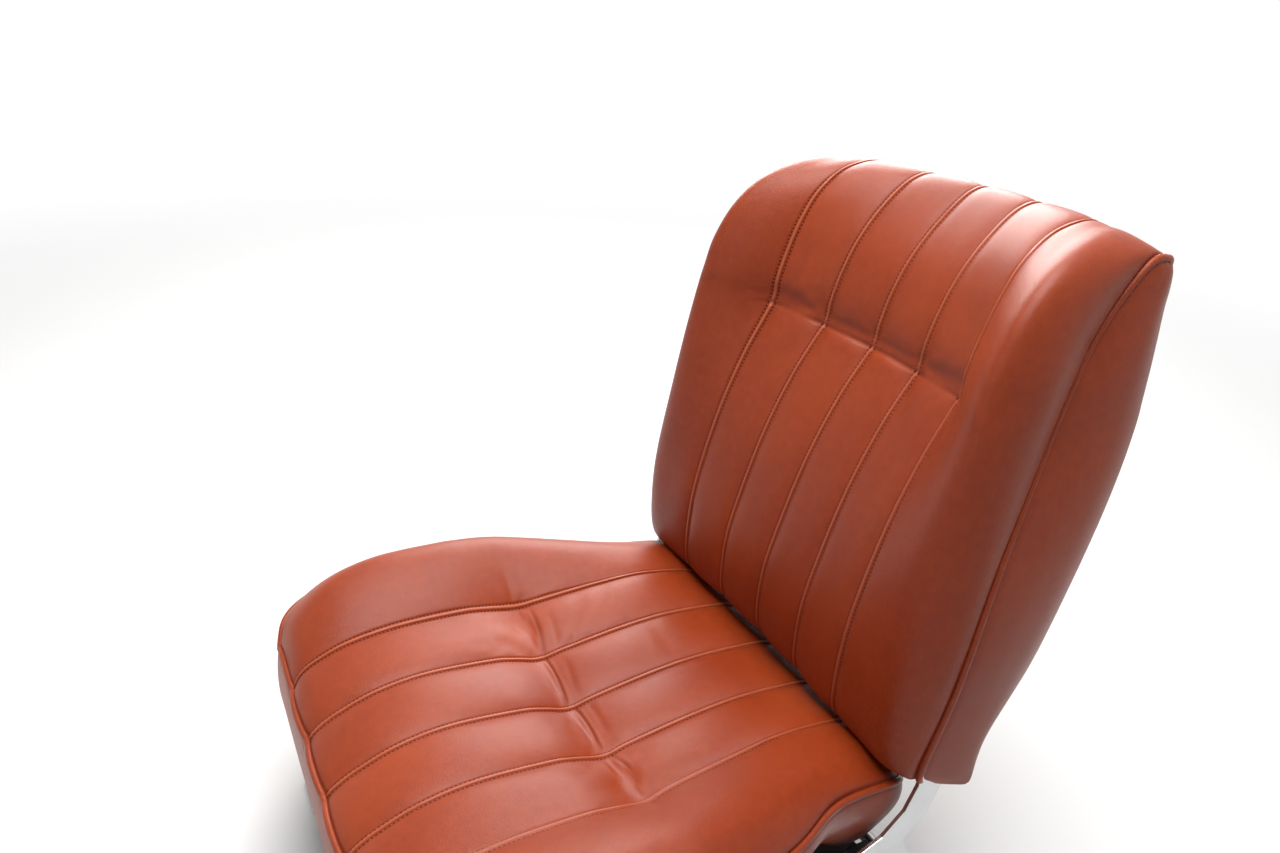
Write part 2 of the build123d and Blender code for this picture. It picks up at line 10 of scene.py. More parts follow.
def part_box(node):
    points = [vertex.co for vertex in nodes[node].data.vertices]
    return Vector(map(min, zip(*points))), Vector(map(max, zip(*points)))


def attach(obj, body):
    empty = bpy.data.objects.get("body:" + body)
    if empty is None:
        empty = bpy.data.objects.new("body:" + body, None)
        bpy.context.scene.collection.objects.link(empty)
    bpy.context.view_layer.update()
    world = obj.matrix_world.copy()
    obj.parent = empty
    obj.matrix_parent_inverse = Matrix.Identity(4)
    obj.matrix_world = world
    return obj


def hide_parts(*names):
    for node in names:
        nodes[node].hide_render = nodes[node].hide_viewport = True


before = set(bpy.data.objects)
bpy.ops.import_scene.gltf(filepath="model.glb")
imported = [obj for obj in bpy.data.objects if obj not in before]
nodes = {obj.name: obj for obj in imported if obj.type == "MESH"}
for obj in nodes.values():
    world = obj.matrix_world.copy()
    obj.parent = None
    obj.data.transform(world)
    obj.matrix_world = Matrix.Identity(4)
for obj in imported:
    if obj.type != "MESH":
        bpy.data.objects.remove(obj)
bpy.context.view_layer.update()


# Floor runners: rolled steel channels on four pressed feet, zinc plated and bolted down to the car's floor.
# The plating is dull and slightly spangled, with fine scratches along its length.
class Wire:
    """One output of a material's node tree; arithmetic on it adds Math nodes."""

    def __init__(self, tree, socket=None):
        self.tree = tree
        self.socket = socket

    def node(self, kind, inputs, out=0, **settings):
        made = self.tree.nodes.new("ShaderNode" + kind)
        for name, value in settings.items():
            setattr(made, name, value)
        for key, value in inputs.items():
            if isinstance(value, Wire):
                self.tree.links.new(value.socket, made.inputs[key])
            else:
                made.inputs[key].default_value = value
        return Wire(self.tree, made.outputs[out])

    def math(self, operation, *terms):
        return self.node("Math", dict(enumerate(terms)), operation=operation)

    def __add__(self, other):
        return self.math("ADD", self, other)

    __radd__ = __add__

    def __sub__(self, other):
        return self.math("SUBTRACT", self, other)

    def __rsub__(self, other):
        return self.math("SUBTRACT", other, self)

    def __mul__(self, other):
        return self.math("MULTIPLY", self, other)

    __rmul__ = __mul__

    def between(self, low, high, to_low=0.0, to_high=1.0):
        """This value stretched smoothly from one range to another."""
        inputs = {0: self, 1: low, 2: high, 3: to_low, 4: to_high}
        return self.node("MapRange", inputs, interpolation_type="SMOOTHSTEP")

    def tint(self, first, second):
        """A colour between two, by this value."""
        return self.node("Mix", {0: self, 6: first, 7: second}, out=2, data_type="RGBA")

    def noise(self, scale, detail=3.0, stretch=None):
        """Cloudy pattern on the piece's own coordinates, in cycles per metre."""
        where = self.node("TexCoord", {}, out=3)
        if stretch:
            where = self.node("Mapping", {"Vector": where, "Scale": stretch})
        return self.node("TexNoise", {"Vector": where, "Scale": scale, "Detail": detail})

    def cells(self, scale, feature="F1"):
        """Distance within pebble-like cells, on the piece's own coordinates."""
        where = self.node("TexCoord", {}, out=3)
        return self.node("TexVoronoi", {"Vector": where, "Scale": scale}, feature=feature)

    def edge(self, radius):
        """How much an edge or corner stands out, for paint or plating that wears there."""
        smooth = self.node("Bevel", {"Radius": radius}, samples=4)
        true = self.node("NewGeometry", {}, out=1)
        dot = self.node("VectorMath", {0: smooth, 1: true}, out=1, operation="DOT_PRODUCT")
        return dot.between(0.86, 0.995, 1.0, 0.0)


def finish_of(name):
    """A new material, its node maker and its main shader."""
    made = bpy.data.materials.new(name)
    made.use_nodes = True
    return made, Wire(made.node_tree), made.node_tree.nodes["Principled BSDF"]


def set_finish(shader, start, sockets):
    for name, value in sockets.items():
        if isinstance(value, Wire):
            start.tree.links.new(value.socket, shader.inputs[name])
        else:
            shader.inputs[name].default_value = value


def bumpy(start, height, depth, strength=1.0):
    return start.node("Bump", {"Height": height, "Distance": depth, "Strength": strength})


def coat_nodes(material, *names):
    """Give the CAD pieces of these names a finish."""
    for name in names:
        piece = nodes[name]
        piece.data.materials.clear()
        piece.data.materials.append(material)


zinc, start, shader = finish_of("zinc_plate")
spangle = start.cells(160.0)
cloud = start.noise(14.0)
scratch = start.noise(900.0, 2.0, (1.0, 0.02, 1.0))
set_finish(shader, start, {
    "Base Color": (cloud * 0.6 + spangle * 0.5).tint((0.26, 0.26, 0.255, 1), (0.44, 0.44, 0.43, 1)),
    "Metallic": 0.85,
    "Roughness": spangle * 0.14 + scratch * 0.12 + 0.32,
    "Normal": bumpy(start, scratch * 0.7 + spangle * 0.3, 0.00015),
})
coat_nodes(zinc, "floor_rail_left", "floor_rail_right")
coat_nodes(zinc, "foot_front_left", "foot_front_right", "foot_rear_left", "foot_rear_right")


# Floor bolts: a hexagon head over a plain washer in each foot. They are bare steel, a little scuffed where a
# spanner has turned them.
def tree_of(name, inputs):
    """An empty Geometry Nodes tree with named inputs, its input node, and what adds its nodes and ends it."""
    tree = bpy.data.node_groups.new(name, "GeometryNodeTree")
    tree.interface.new_socket("Geometry", in_out="INPUT", socket_type="NodeSocketGeometry")
    for label, (kind, value) in inputs.items():
        socket = tree.interface.new_socket(label, in_out="INPUT", socket_type="NodeSocket" + kind)
        if value is not None:
            socket.default_value = value
    tree.interface.new_socket("Geometry", in_out="OUTPUT", socket_type="NodeSocketGeometry")
    entry = tree.nodes.new("NodeGroupInput")
    leave = tree.nodes.new("NodeGroupOutput")

    def put(kind, links, **settings):
        made = tree.nodes.new(kind)
        for key, value in settings.items():
            setattr(made, key, value)
        for key, value in links.items():
            if isinstance(value, bpy.types.NodeSocket):
                tree.links.new(value, made.inputs[key])
            else:
                made.inputs[key].default_value = value
        return made

    def close(geometry, material):
        real = put("GeometryNodeRealizeInstances", {"Geometry": geometry})
        skin = put("GeometryNodeSetMaterial", {"Geometry": real.outputs[0], "Material": material})
        tree.links.new(skin.outputs[0], leave.inputs[0])

    return tree, entry, put, close


def grown(name, mesh, tree, values, body):
    """The piece that a tree makes from a mesh, as a plain mesh that rides on a body."""
    seed = bpy.data.objects.new(name + "_seed", mesh)
    bpy.context.scene.collection.objects.link(seed)
    modifier = seed.modifiers.new(name, "NODES")
    modifier.node_group = tree
    for item in tree.interface.items_tree:
        if item.in_out == "INPUT" and item.name in values:
            modifier[item.identifier] = values[item.name]
    seed.update_tag()
    bpy.context.view_layer.update()
    graph = bpy.context.evaluated_depsgraph_get()
    made = bpy.data.meshes.new_from_object(seed.evaluated_get(graph))
    seed.modifiers.remove(modifier)
    bpy.data.objects.remove(seed)
    piece = bpy.data.objects.new(name, made)
    bpy.context.scene.collection.objects.link(piece)
    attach(piece, body)
    return piece


def points_mesh(name, points, edges=(), **vectors):
    """Loose points, or points on a line, with named directions stored on them."""
    mesh = bpy.data.meshes.new(name)
    mesh.from_pydata([tuple(p) for p in points], list(edges), [])
    for key, value in vectors.items():
        layer = mesh.attributes.new(key, "FLOAT_VECTOR", "POINT")
        layer.data.foreach_set("vector", np.asarray(value, np.float32).ravel())
    return mesh


HEAD_TREE, entry, put, close = tree_of("screw_heads", {
    "Radius": ("Float", 0.006), "Height": ("Float", 0.005), "Washer": ("Float", 0.0095),
    "Sides": ("Int", 6), "Finish": ("Material", None),
})
washer = put("GeometryNodeMeshCylinder", {"Vertices": 24, "Radius": entry.outputs["Washer"], "Depth": 0.0012})
head = put("GeometryNodeMeshCylinder", {
    "Vertices": entry.outputs["Sides"], "Radius": entry.outputs["Radius"], "Depth": entry.outputs["Height"]})
half = put("ShaderNodeMath", {0: entry.outputs["Height"], 1: 0.5}, operation="MULTIPLY")
lift = put("ShaderNodeCombineXYZ", {"Z": half.outputs[0]})
up = put("GeometryNodeTransform", {"Geometry": head.outputs[0], "Translation": lift.outputs[0]})
crown = put("GeometryNodeMeshCone", {
    "Vertices": 24, "Radius Top": 0.0, "Radius Bottom": entry.outputs["Radius"], "Depth": 0.0008})
top = put("ShaderNodeCombineXYZ", {"Z": entry.outputs["Height"]})
cap = put("GeometryNodeTransform", {"Geometry": crown.outputs[0], "Translation": top.outputs[0]})
bolt = put("GeometryNodeJoinGeometry", {})
for part in (washer, up, cap):
    bolt.id_data.links.new(part.outputs[0], bolt.inputs[0])
aim = put("GeometryNodeInputNamedAttribute", {"Name": "aim"}, data_type="FLOAT_VECTOR")
turn = put("FunctionNodeAlignRotationToVector", {"Vector": aim.outputs[0]}, axis="Z")
spots = put("GeometryNodeInstanceOnPoints", {
    "Points": entry.outputs[0], "Instance": bolt.outputs[0], "Rotation": turn.outputs[0]})
close(spots.outputs[0], entry.outputs["Finish"])

steel, start, shader = finish_of("bolt_steel")
scuff = start.noise(300.0)
set_finish(shader, start, {
    "Base Color": scuff.tint((0.30, 0.30, 0.30, 1), (0.52, 0.52, 0.51, 1)),
    "Metallic": 1.0,
    "Roughness": scuff * 0.25 + 0.22,
    "Normal": bumpy(start, scuff, 0.0001),
})
RAIL_X = 0.185
BOLT_Y = 0.205
FOOT_TOP = 0.003
feet = [(x, y, FOOT_TOP + 0.0006) for x in (-RAIL_X, RAIL_X) for y in (-BOLT_Y, BOLT_Y)]
grown("floor_bolts", points_mesh("floor_bolts", feet, aim=[(0, 0, 1)] * 4), HEAD_TREE,
      {"Radius": 0.0072, "Height": 0.0055, "Washer": 0.0105, "Sides": 6, "Finish": steel},
      "floor_runners")


# Base: two pressed side channels joined by cross tubes, on sliders that run in the rails. Black stove enamel,
# rubbed to bare steel at its edges.
black, start, shader = finish_of("black_enamel")
peel = start.noise(420.0, 2.0)
dust = start.noise(22.0, 4.0)
worn = start.edge(0.0012) * start.noise(90.0, 4.0).between(0.42, 0.62)
enamel = dust.tint((0.010, 0.010, 0.011, 1), (0.030, 0.028, 0.026, 1))
set_finish(shader, start, {
    "Base Color": worn.tint(enamel, (0.25, 0.24, 0.23, 1)),
    "Metallic": worn * 0.8,
    "Roughness": dust * 0.25 + worn * 0.1 + 0.28,
    "Normal": bumpy(start, peel, 0.00012),
})
coat_nodes(black, "slider_left", "slider_right", "side_member_left", "side_member_right")
coat_nodes(black, "base_tubes", "back_tube", "cushion_frame_sides", "cushion_frame_ends")


# Slide latch and rake gear: turned and pressed steel, oiled, with moulded black grips. The latch bar crosses
# under the cushion, and the rake shaft carries a stepped cam at each side.
oiled, start, shader = finish_of("oiled_steel")
ring = start.noise(700.0, 2.0, (0.02, 1.0, 1.0))
stain = start.noise(30.0, 4.0)
set_finish(shader, start, {
    "Base Color": stain.tint((0.16, 0.15, 0.14, 1), (0.42, 0.41, 0.40, 1)),
    "Metallic": 1.0,
    "Roughness": ring * 0.15 + stain * 0.2 + 0.22,
    "Normal": bumpy(start, ring, 0.0001),
})
coat_nodes(oiled, "latch_bar", "rake_shaft", "rake_cam_left", "rake_cam_right")

grip, start, shader = finish_of("moulded_grip")
speck = start.noise(1500.0, 2.0)
rubbed = start.noise(40.0, 4.0)
set_finish(shader, start, {
    "Base Color": rubbed.tint((0.012, 0.012, 0.012, 1), (0.030, 0.029, 0.028, 1)),
    "Roughness": rubbed * 0.2 + 0.33,
    "Normal": bumpy(start, speck, 0.00008),
})
coat_nodes(grip, "latch_knob", "rake_knob")


# Side arms, pivot bolts and the rake lever: polished steel, chromium plated, with fine wiping marks. The arms
# are bent flat bars that carry the backrest and turn on the bolts.
chrome, start, shader = finish_of("chrome_plate")
wipe = start.noise(55.0, 5.0)
hair = start.noise(1400.0, 2.0, (1.0, 0.03, 0.03))
set_finish(shader, start, {
    "Base Color": wipe.tint((0.52, 0.53, 0.54, 1), (0.64, 0.65, 0.66, 1)),
    "Metallic": 1.0,
    "Roughness": wipe.between(0.35, 0.75, 0.035, 0.13) + hair * 0.02,
    "Normal": bumpy(start, wipe * 0.8 + hair * 0.2, 0.00006),
})
coat_nodes(chrome, "arm_left", "arm_right", "pivot_bolt_left", "pivot_bolt_right", "rake_lever")


# Cushion springs: oiled round wire bent to and fro, five abreast. They hook over the front and rear bars of
# the cushion's frame and carry its foam.
SPRING_WIRE = 0.0019
SPRING_BEND = 0.0085
SPRING_COUNT = 5
SPRING_APART = 0.072
SPRING_BENDS = 17
SPRING_HALF = 0.020
SPRING_TREE, entry, put, close = tree_of("sinuous_springs", {
    "Wire": ("Float", SPRING_WIRE), "Bend": ("Float", SPRING_BEND), "Count": ("Int", SPRING_COUNT),
    "Apart": ("Float", SPRING_APART), "Finish": ("Material", None),
})
path = put("GeometryNodeMeshToCurve", {"Mesh": entry.outputs[0]})
bent = put("GeometryNodeFilletCurve", {
    0: path.outputs[0], "Radius": entry.outputs["Bend"], "Count": 6}, mode="POLY")
section = put("GeometryNodeCurvePrimitiveCircle", {"Resolution": 8, "Radius": entry.outputs["Wire"]})
wire = put("GeometryNodeCurveToMesh", {
    "Curve": bent.outputs[0], "Profile Curve": section.outputs[0], "Fill Caps": True})
smooth = put("GeometryNodeSetShadeSmooth", {"Geometry": wire.outputs[0]})
gap = put("ShaderNodeCombineXYZ", {"X": entry.outputs["Apart"]})
row = put("GeometryNodeMeshLine", {"Count": entry.outputs["Count"], "Offset": gap.outputs[0]})
across = put("GeometryNodeInstanceOnPoints", {"Points": row.outputs[0], "Instance": smooth.outputs[0]})
close(across.outputs[0], entry.outputs["Finish"])

low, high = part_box("cushion_springs")
pitch = (high[1] - low[1]) / (SPRING_BENDS + 1)
middle = 0.5 * (low[2] + high[2])
zigzag = [(0.0, low[1]), (0.0, low[1] + pitch / 2)]
for i in range(SPRING_BENDS):
    side = SPRING_HALF if i % 2 == 0 else -SPRING_HALF
    y = low[1] + pitch * (i + 0.5)
    zigzag += [(side, y), (side, y + pitch)]
zigzag += [(0.0, high[1] - pitch / 2), (0.0, high[1])]
first_x = -SPRING_APART * (SPRING_COUNT - 1) / 2
line = [(x + first_x, y, middle) for x, y in zigzag]
links = [(i, i + 1) for i in range(len(line) - 1)]
springs = grown("spring_wires", points_mesh("spring_wires", line, links), SPRING_TREE, {
    "Wire": SPRING_WIRE, "Bend": SPRING_BEND, "Count": SPRING_COUNT, "Apart": SPRING_APART, "Finish": oiled,
}, "seat_base")
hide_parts("cushion_springs")


# Cushion: foam under pleated leather. Five double-stitched seams run from front to rear and are drawn down
# across the middle. A piped edge joins the top to a plain band that wraps round the base.
LEATHER_DARK = (0.205, 0.024, 0.004, 1)
LEATHER = (0.290, 0.041, 0.007, 1)
# Colours of painted shade in the hollows, and of the ribs' rubbed wear with a painted highlight
LEATHER_PAINTED_SHADE = (0.050, 0.004, 0.001, 1)
LEATHER_RUBBED_HIGHLIGHT = (0.52, 0.13, 0.055, 1)


def leather_finish(name, dark, light):
    """Grained hide: pebbled cells broken by fine creases, with painted shade in its stitch rows,
    creases, folds and tucks, and ribs lighter partly from rubbed wear and partly as a painted highlight.
    """
    made, start, shader = finish_of(name)
    hollow = start.node("Attribute", {}, out=2, attribute_name="hollow")
    rib = start.node("Attribute", {}, out=2, attribute_name="rib")
    cloud = start.noise(7.0, 5.0)
    fine = start.noise(130.0, 3.0)
    pebble = start.cells(1150.0)
    crack = start.cells(520.0, "DISTANCE_TO_EDGE").between(0.0, 0.12)
    pore = start.noise(2600.0, 2.0)
    tone = (cloud * 0.7 + fine * 0.3).between(0.25, 0.78)
    # Painted shade darkens the hollows; ribs lighten, partly as rubbed wear, partly as painted highlight
    colour = hollow.tint(tone.tint(dark, light), LEATHER_PAINTED_SHADE)
    colour = (rib * 0.45).tint(colour, LEATHER_RUBBED_HIGHLIGHT)
    set_finish(shader, start, {
        "Base Color": colour,
        "Roughness": cloud * 0.12 + pebble * 0.10 + hollow * 0.6 - rib * 0.06 + 0.28,
        "Specular IOR Level": 0.27,
        "Normal": bumpy(start, pebble * 0.55 + crack * 0.45 + pore * 0.15, 0.00022, 0.55),
    })
    return made


def through(keys, values, at):
    """Smooth curve through the values at the keys, with slopes from both neighbours."""
    keys = np.asarray(keys, float)
    values = np.asarray(values, float)
    at = np.asarray(at, float)
    tail = (-1,) + (1,) * (values.ndim - 1)
    step = np.diff(keys).reshape(tail)
    rise = np.diff(values, axis=0) / step
    slope = np.empty_like(values)
    slope[1:-1] = (rise[:-1] * step[1:] + rise[1:] * step[:-1]) / (step[:-1] + step[1:])
    slope[0] = rise[0]
    slope[-1] = rise[-1]
    i = np.clip(np.searchsorted(keys, at, side="right") - 1, 0, len(keys) - 2)
    h = np.diff(keys)[i].reshape(tail)
    t = ((at - keys[i]) / np.diff(keys)[i]).reshape(tail)
    a = 2 * t**3 - 3 * t**2 + 1
    b = t**3 - 2 * t**2 + t
    c = t**3 - t**2
    return a * values[i] + b * h * slope[i] + (1 - a) * values[i + 1] + c * h * slope[i + 1]


def panel(table, seam, rows, cols, draw_in=0.0):
    """Points of a dished panel, in mm. Each row of the table gives its middle, outer seam, bolster and piped
    edge. The seams draw in towards the first row."""
    t = through(np.arange(len(table)), np.asarray(table, float), rows)
    middle = t[:, 0:2]
    sewn = t[:, 2:4]
    crest = t[:, 4:7]
    edge = t[:, 8:11]
    shoulder = 0.5 * (crest + edge)
    shoulder[:, 0] += t[:, 7]
    narrow = draw_in * np.clip(1 - rows / 6.0, 0, 1)
    half = np.zeros((7, len(rows), 3))
    half[0, :, 1:] = middle
    half[1, :, 1:] = 0.75 * middle + 0.25 * sewn
    half[2, :, 1:] = sewn
    half[1, :, 0] = seam * (1 - 0.4 * narrow)
    half[2, :, 0] = 2 * seam * (1 - narrow)
    half[3] = 0.5 * (half[2] + crest)
    half[3, :, 1:] += 0.15 * (crest[:, 1:] - sewn)
    half[4] = crest
    half[5] = shoulder
    half[6] = edge
    whole = np.concatenate([half[:0:-1] * np.array([-1, 1, 1]), half])
    keys = [-4, -3.5, -3, -2.5, -2, -1, 0, 1, 2, 2.5, 3, 3.5, 4]
    return through(keys, whole, cols).transpose(1, 0, 2)


def seam_columns(seam, spread):
    """Cross positions of a panel's columns: close together at each seam, wider over the foam."""
    near = [0.0, 0.9, 1.6, 2.2, 2.8, 3.5, 4.5, 6.2, 9.0]
    half = [2 + 2 * d / spread for d in near + list(np.arange(14.0, spread - 11.0, 5.4))]
    half += [4 - 2 * d / spread for d in (9.0, 6.0, 4.0, 2.5, 1.2, 0.0)]
    for i in (0, 1):
        half += [i + d / seam for d in near + list(np.arange(14.0, seam - 11.0, 5.4))]
        half += [i + 1 - d / seam for d in near]
    half = np.array(sorted(set(np.round(half, 5))))
    return np.concatenate([-half[:0:-1], half])


HELD_BY_SEAM = 4.4


def foam_columns(seam, spread):
    """Cross positions of the columns that the foam's swelling is worked out on."""
    held = HELD_BY_SEAM / seam
    half = [0, held, 1 - held, 1, 1 + held, 2 - held, 2, 2 + 2 * HELD_BY_SEAM / spread]
    half += [*np.linspace(0, 1, 8)[1:-1], *np.linspace(1, 2, 8)[1:-1], *np.linspace(2, 4, 14)[1:]]
    half = np.array(sorted(set(np.round(half, 5))))
    return np.concatenate([-half[:0:-1], half])


def seam_distance(cols, seam):
    """Distance in mm from each column to the nearest seam."""
    return np.abs(cols[:, None] - np.arange(-2, 3)[None, :]).min(1) * seam


def held_columns(cols, seam):
    """Whether each column lies on a seam or close beside one, where the cover is held down."""
    return (seam_distance(cols, seam) < HELD_BY_SEAM + 0.2) & (np.abs(cols) < 2.3)


def seam_across(cols, seam):
    """Signed distance in mm to the nearest seam; columns on the bolsters are far from any."""
    signed = (cols[:, None] - np.arange(-2, 3)[None, :]) * seam
    across = signed[np.arange(len(cols)), np.abs(signed).argmin(1)]
    return np.where(np.abs(cols) > 2.4, 99.0, across)


def side_distance(grid):
    """Distance in mm from each point of a grid to the nearer of its left and right edges."""
    to_left = np.linalg.norm(grid - grid[:, :1], axis=2)
    to_right = np.linalg.norm(grid - grid[:, -1:], axis=2)
    return np.minimum(to_left, to_right) * 1000


def normals_of(grid, facing):
    """Unit normals of a grid of points, on the side of a given direction."""
    normal = np.cross(np.gradient(grid, axis=1), np.gradient(grid, axis=0))
    normal /= np.maximum(np.linalg.norm(normal, axis=2, keepdims=True), 1e-9)
    return normal if (normal @ np.array(facing)).sum() > 0 else -normal


SWELL_FRAMES = 20
SWELL_CAP = 0.006
FOAM_PRESSURE = 4.0


class Cover:
    """A leather cover sewn from grids of points, which share the points where they meet."""

    def __init__(self):
        self.points = []
        self.grids = {}

    def add_all(self, grids):
        for name, grid in grids.items():
            first = sum(len(p) for p in self.points)
            self.points.append(grid.reshape(-1, 3))
            self.grids[name] = first + np.arange(grid.shape[0] * grid.shape[1]).reshape(grid.shape[:2])

    def sew(self, name):
        """Join the grids to one closed mesh, in metres."""
        points = np.concatenate(self.points) / 1000.0
        _, first, inverse = np.unique(np.round(points, 6), axis=0, return_index=True, return_inverse=True)
        inverse = inverse.reshape(-1)
        faces = []
        self.panels = []
        for part, index in self.grids.items():
            index = self.grids[part] = inverse[index]
            corners = [index[:-1, :-1], index[:-1, 1:], index[1:, 1:], index[1:, :-1]]
            for quad in np.stack(corners, -1).reshape(-1, 4).tolist():
                ring = list(dict.fromkeys(quad))
                if len(ring) > 2:
                    faces.append(ring)
                    self.panels.append(part)
        mesh = bpy.data.meshes.new(name)
        mesh.from_pydata(points[first].tolist(), [], faces)
        work = bmesh.new()
        work.from_mesh(mesh)
        bmesh.ops.recalc_face_normals(work, faces=work.faces)
        work.to_mesh(mesh)
        work.free()
        self.piece = bpy.data.objects.new(name, mesh)
        bpy.context.scene.collection.objects.link(self.piece)
        self.rest = self.read()
        return self.piece

    def read(self, mesh=None):
        mesh = mesh or self.piece.data
        flat = np.zeros(len(mesh.vertices) * 3, np.float32)
        mesh.vertices.foreach_get("co", flat)
        return flat.reshape(-1, 3).astype(float)

    def write(self, points):
        self.piece.data.vertices.foreach_set("co", np.asarray(points, np.float32).ravel())
        self.piece.data.update()

    def paint(self, part, **values):
        """Store a value per point of one grid, for the material to read."""
        for name, value in values.items():
            whole = np.zeros(len(self.piece.data.vertices), np.float32)
            whole[self.grids[part]] = np.clip(value, 0, 1)
            self.piece.data.attributes.new(name, "FLOAT", "POINT").data.foreach_set("value", whole)

    def dress(self, materials, others):
        """Give the cover its materials: the first but for the grids named."""
        mesh = self.piece.data
        for material in materials:
            mesh.materials.append(material)
        mesh.polygons.foreach_set("material_index", [others.get(part, 0) for part in self.panels])
        mesh.shade_smooth()
        mesh.set_sharp_from_angle(angle=math.radians(50))

    def moves(self, part):
        """How far the points of one grid have moved since the cover was sewn."""
        return (self.read() - self.rest)[self.grids[part]]

    def drop(self):
        bpy.data.meshes.remove(self.piece.data)

    def swell(self, held, cap, pressure):
        """Let foam blow the cover up between its seams, by a cloth simulation under pressure."""
        group = self.piece.vertex_groups.new(name="held")
        group.add(np.nonzero(held > 0.5)[0].tolist(), 1.0, "REPLACE")
        modifier = self.piece.modifiers.new("cover", "CLOTH")
        cloth = modifier.settings
        cloth.vertex_group_mass = "held"
        cloth.quality = 5
        cloth.mass = 0.3
        cloth.tension_stiffness = cloth.compression_stiffness = 15.0
        cloth.shear_stiffness = 5.0
        cloth.bending_stiffness = 0.5
        cloth.use_pressure = True
        cloth.uniform_pressure_force = pressure
        cloth.effector_weights.gravity = 0.0
        modifier.collision_settings.use_collision = False
        modifier.point_cache.frame_start = 1
        modifier.point_cache.frame_end = SWELL_FRAMES
        for step in range(1, SWELL_FRAMES + 1):
            bpy.context.scene.frame_set(step)
        blown = self.piece.evaluated_get(bpy.context.evaluated_depsgraph_get()).data
        move = self.read(blown) - self.rest
        self.piece.modifiers.remove(modifier)
        bpy.context.scene.frame_set(1)
        length = np.maximum(np.linalg.norm(move, axis=1, keepdims=True), 1e-9)
        self.write(self.rest + move / length * cap * np.tanh(length / cap))
        print(self.piece.name, "swelled by up to", round(1000 * float(length.max()), 1), "mm")


def ridge(distance, centre, half_width):
    """A smooth ridge, one high, centred at a distance in mm."""
    return np.exp(-(((distance - centre) / half_width) ** 2))


#  a seam across its run: distances in mm, heights in metres
RIB_HALF = 1.6
RIB_HEIGHT = 0.0014
STITCH_OUT = 2.6
STITCH_DIP = 0.0008
SEAM_DIP = 0.0015
PIPED_DIP = 0.0020
PIPED_WIDE = 4.0
PIPED_FOLD = 3.4


def sewn_profile(across, ends):
    """Height in metres across a double-stitched seam, the weight of painted shade and grime in its
    stitch rows, and how ribbed it is there.
    """
    d = np.abs(across)
    rib = np.exp(-((d / RIB_HALF) ** 4)) * RIB_HEIGHT
    rows = ridge(d, STITCH_OUT, 0.75) * STITCH_DIP
    dip = ridge(d, 0, 8.0) * SEAM_DIP
    height = (rib - rows - dip) * ends
    return height, ridge(d, STITCH_OUT, 0.8) * ends, np.exp(-((d / 1.2) ** 4)) * ends


def carried(moves, old_rows, old_cols, rows, cols):
    """Moves found on a coarse grid, taken to a finer one over the same panel."""
    down = through(old_rows, moves, rows)
    return through(old_cols, down.transpose(1, 0, 2), cols).transpose(1, 0, 2)


#   middle     outer seam  bolster crest   push  piped edge
#    y    z      y    z      x    y    z          x    y    z
CUSHION = (
    (207, 196, 207, 197, 150, 206, 199, 3, 176, 200, 192),
    (196, 204, 196, 206, 158, 196, 209, 4, 189, 192, 201),
    (172, 211, 172, 218, 165, 172, 222, 5, 197, 172, 211),
    (110, 215, 114, 227, 174, 114, 233, 6, 202, 113, 217),
    (60, 212, 60, 225, 190, 62, 240, 6, 221, 64, 214),
    (0, 203, 0, 219, 204, 4, 248, 7, 239, 3, 219),
    (-25, 198, -23, 216, 208, -24, 252, 8, 243, -24, 221),
    (-48, 205, -50, 221, 210, -50, 254, 8, 246, -50, 221),
    (-71, 211, -78, 225, 211, -78, 255, 8, 248, -78, 220),
    (-133, 217, -137, 226, 211, -137, 253, 8, 249, -137, 218),
    (-175, 212, -183, 220, 206, -181, 243, 8, 246, -180, 212),
    (-207, 200, -210, 210, 196, -209, 227, 7, 233, -212, 206),
    (-225, 190, -227, 199, 187, -226, 211, 5, 216, -229, 200),
    (-237, 180, -237, 182, 180, -237, 188, 3, 198, -237, 184),
)
CUSHION_SEAM = 68.0
CUSHION_SPREAD = 112.0
DRAWN_IN = 0.12
PINCH_ROW = 6.0
LAST_ROW = len(CUSHION) - 1
#  the band's lower edge, front to rear: y, z. It is cut up over the arms and their bolts
BAND_LOW = (
    (-237, 90), (16, 90), (54, 160), (68, 168), (102, 168), (138, 150), (152, 149), (176, 158), (207, 168),
)
UNDERSIDE = 127.0
WELL_X = 206.0
WELL_FRONT = -218.0
WELL_REAR = 200.0
CHEEK_X = 183.0


def fine_rows(last, count, special, near):
    """Row positions: even, but for a few close to a special one."""
    places = np.concatenate([np.linspace(0, last, count), special + np.array(near)])
    return np.array(sorted(set(np.round(places, 4))))


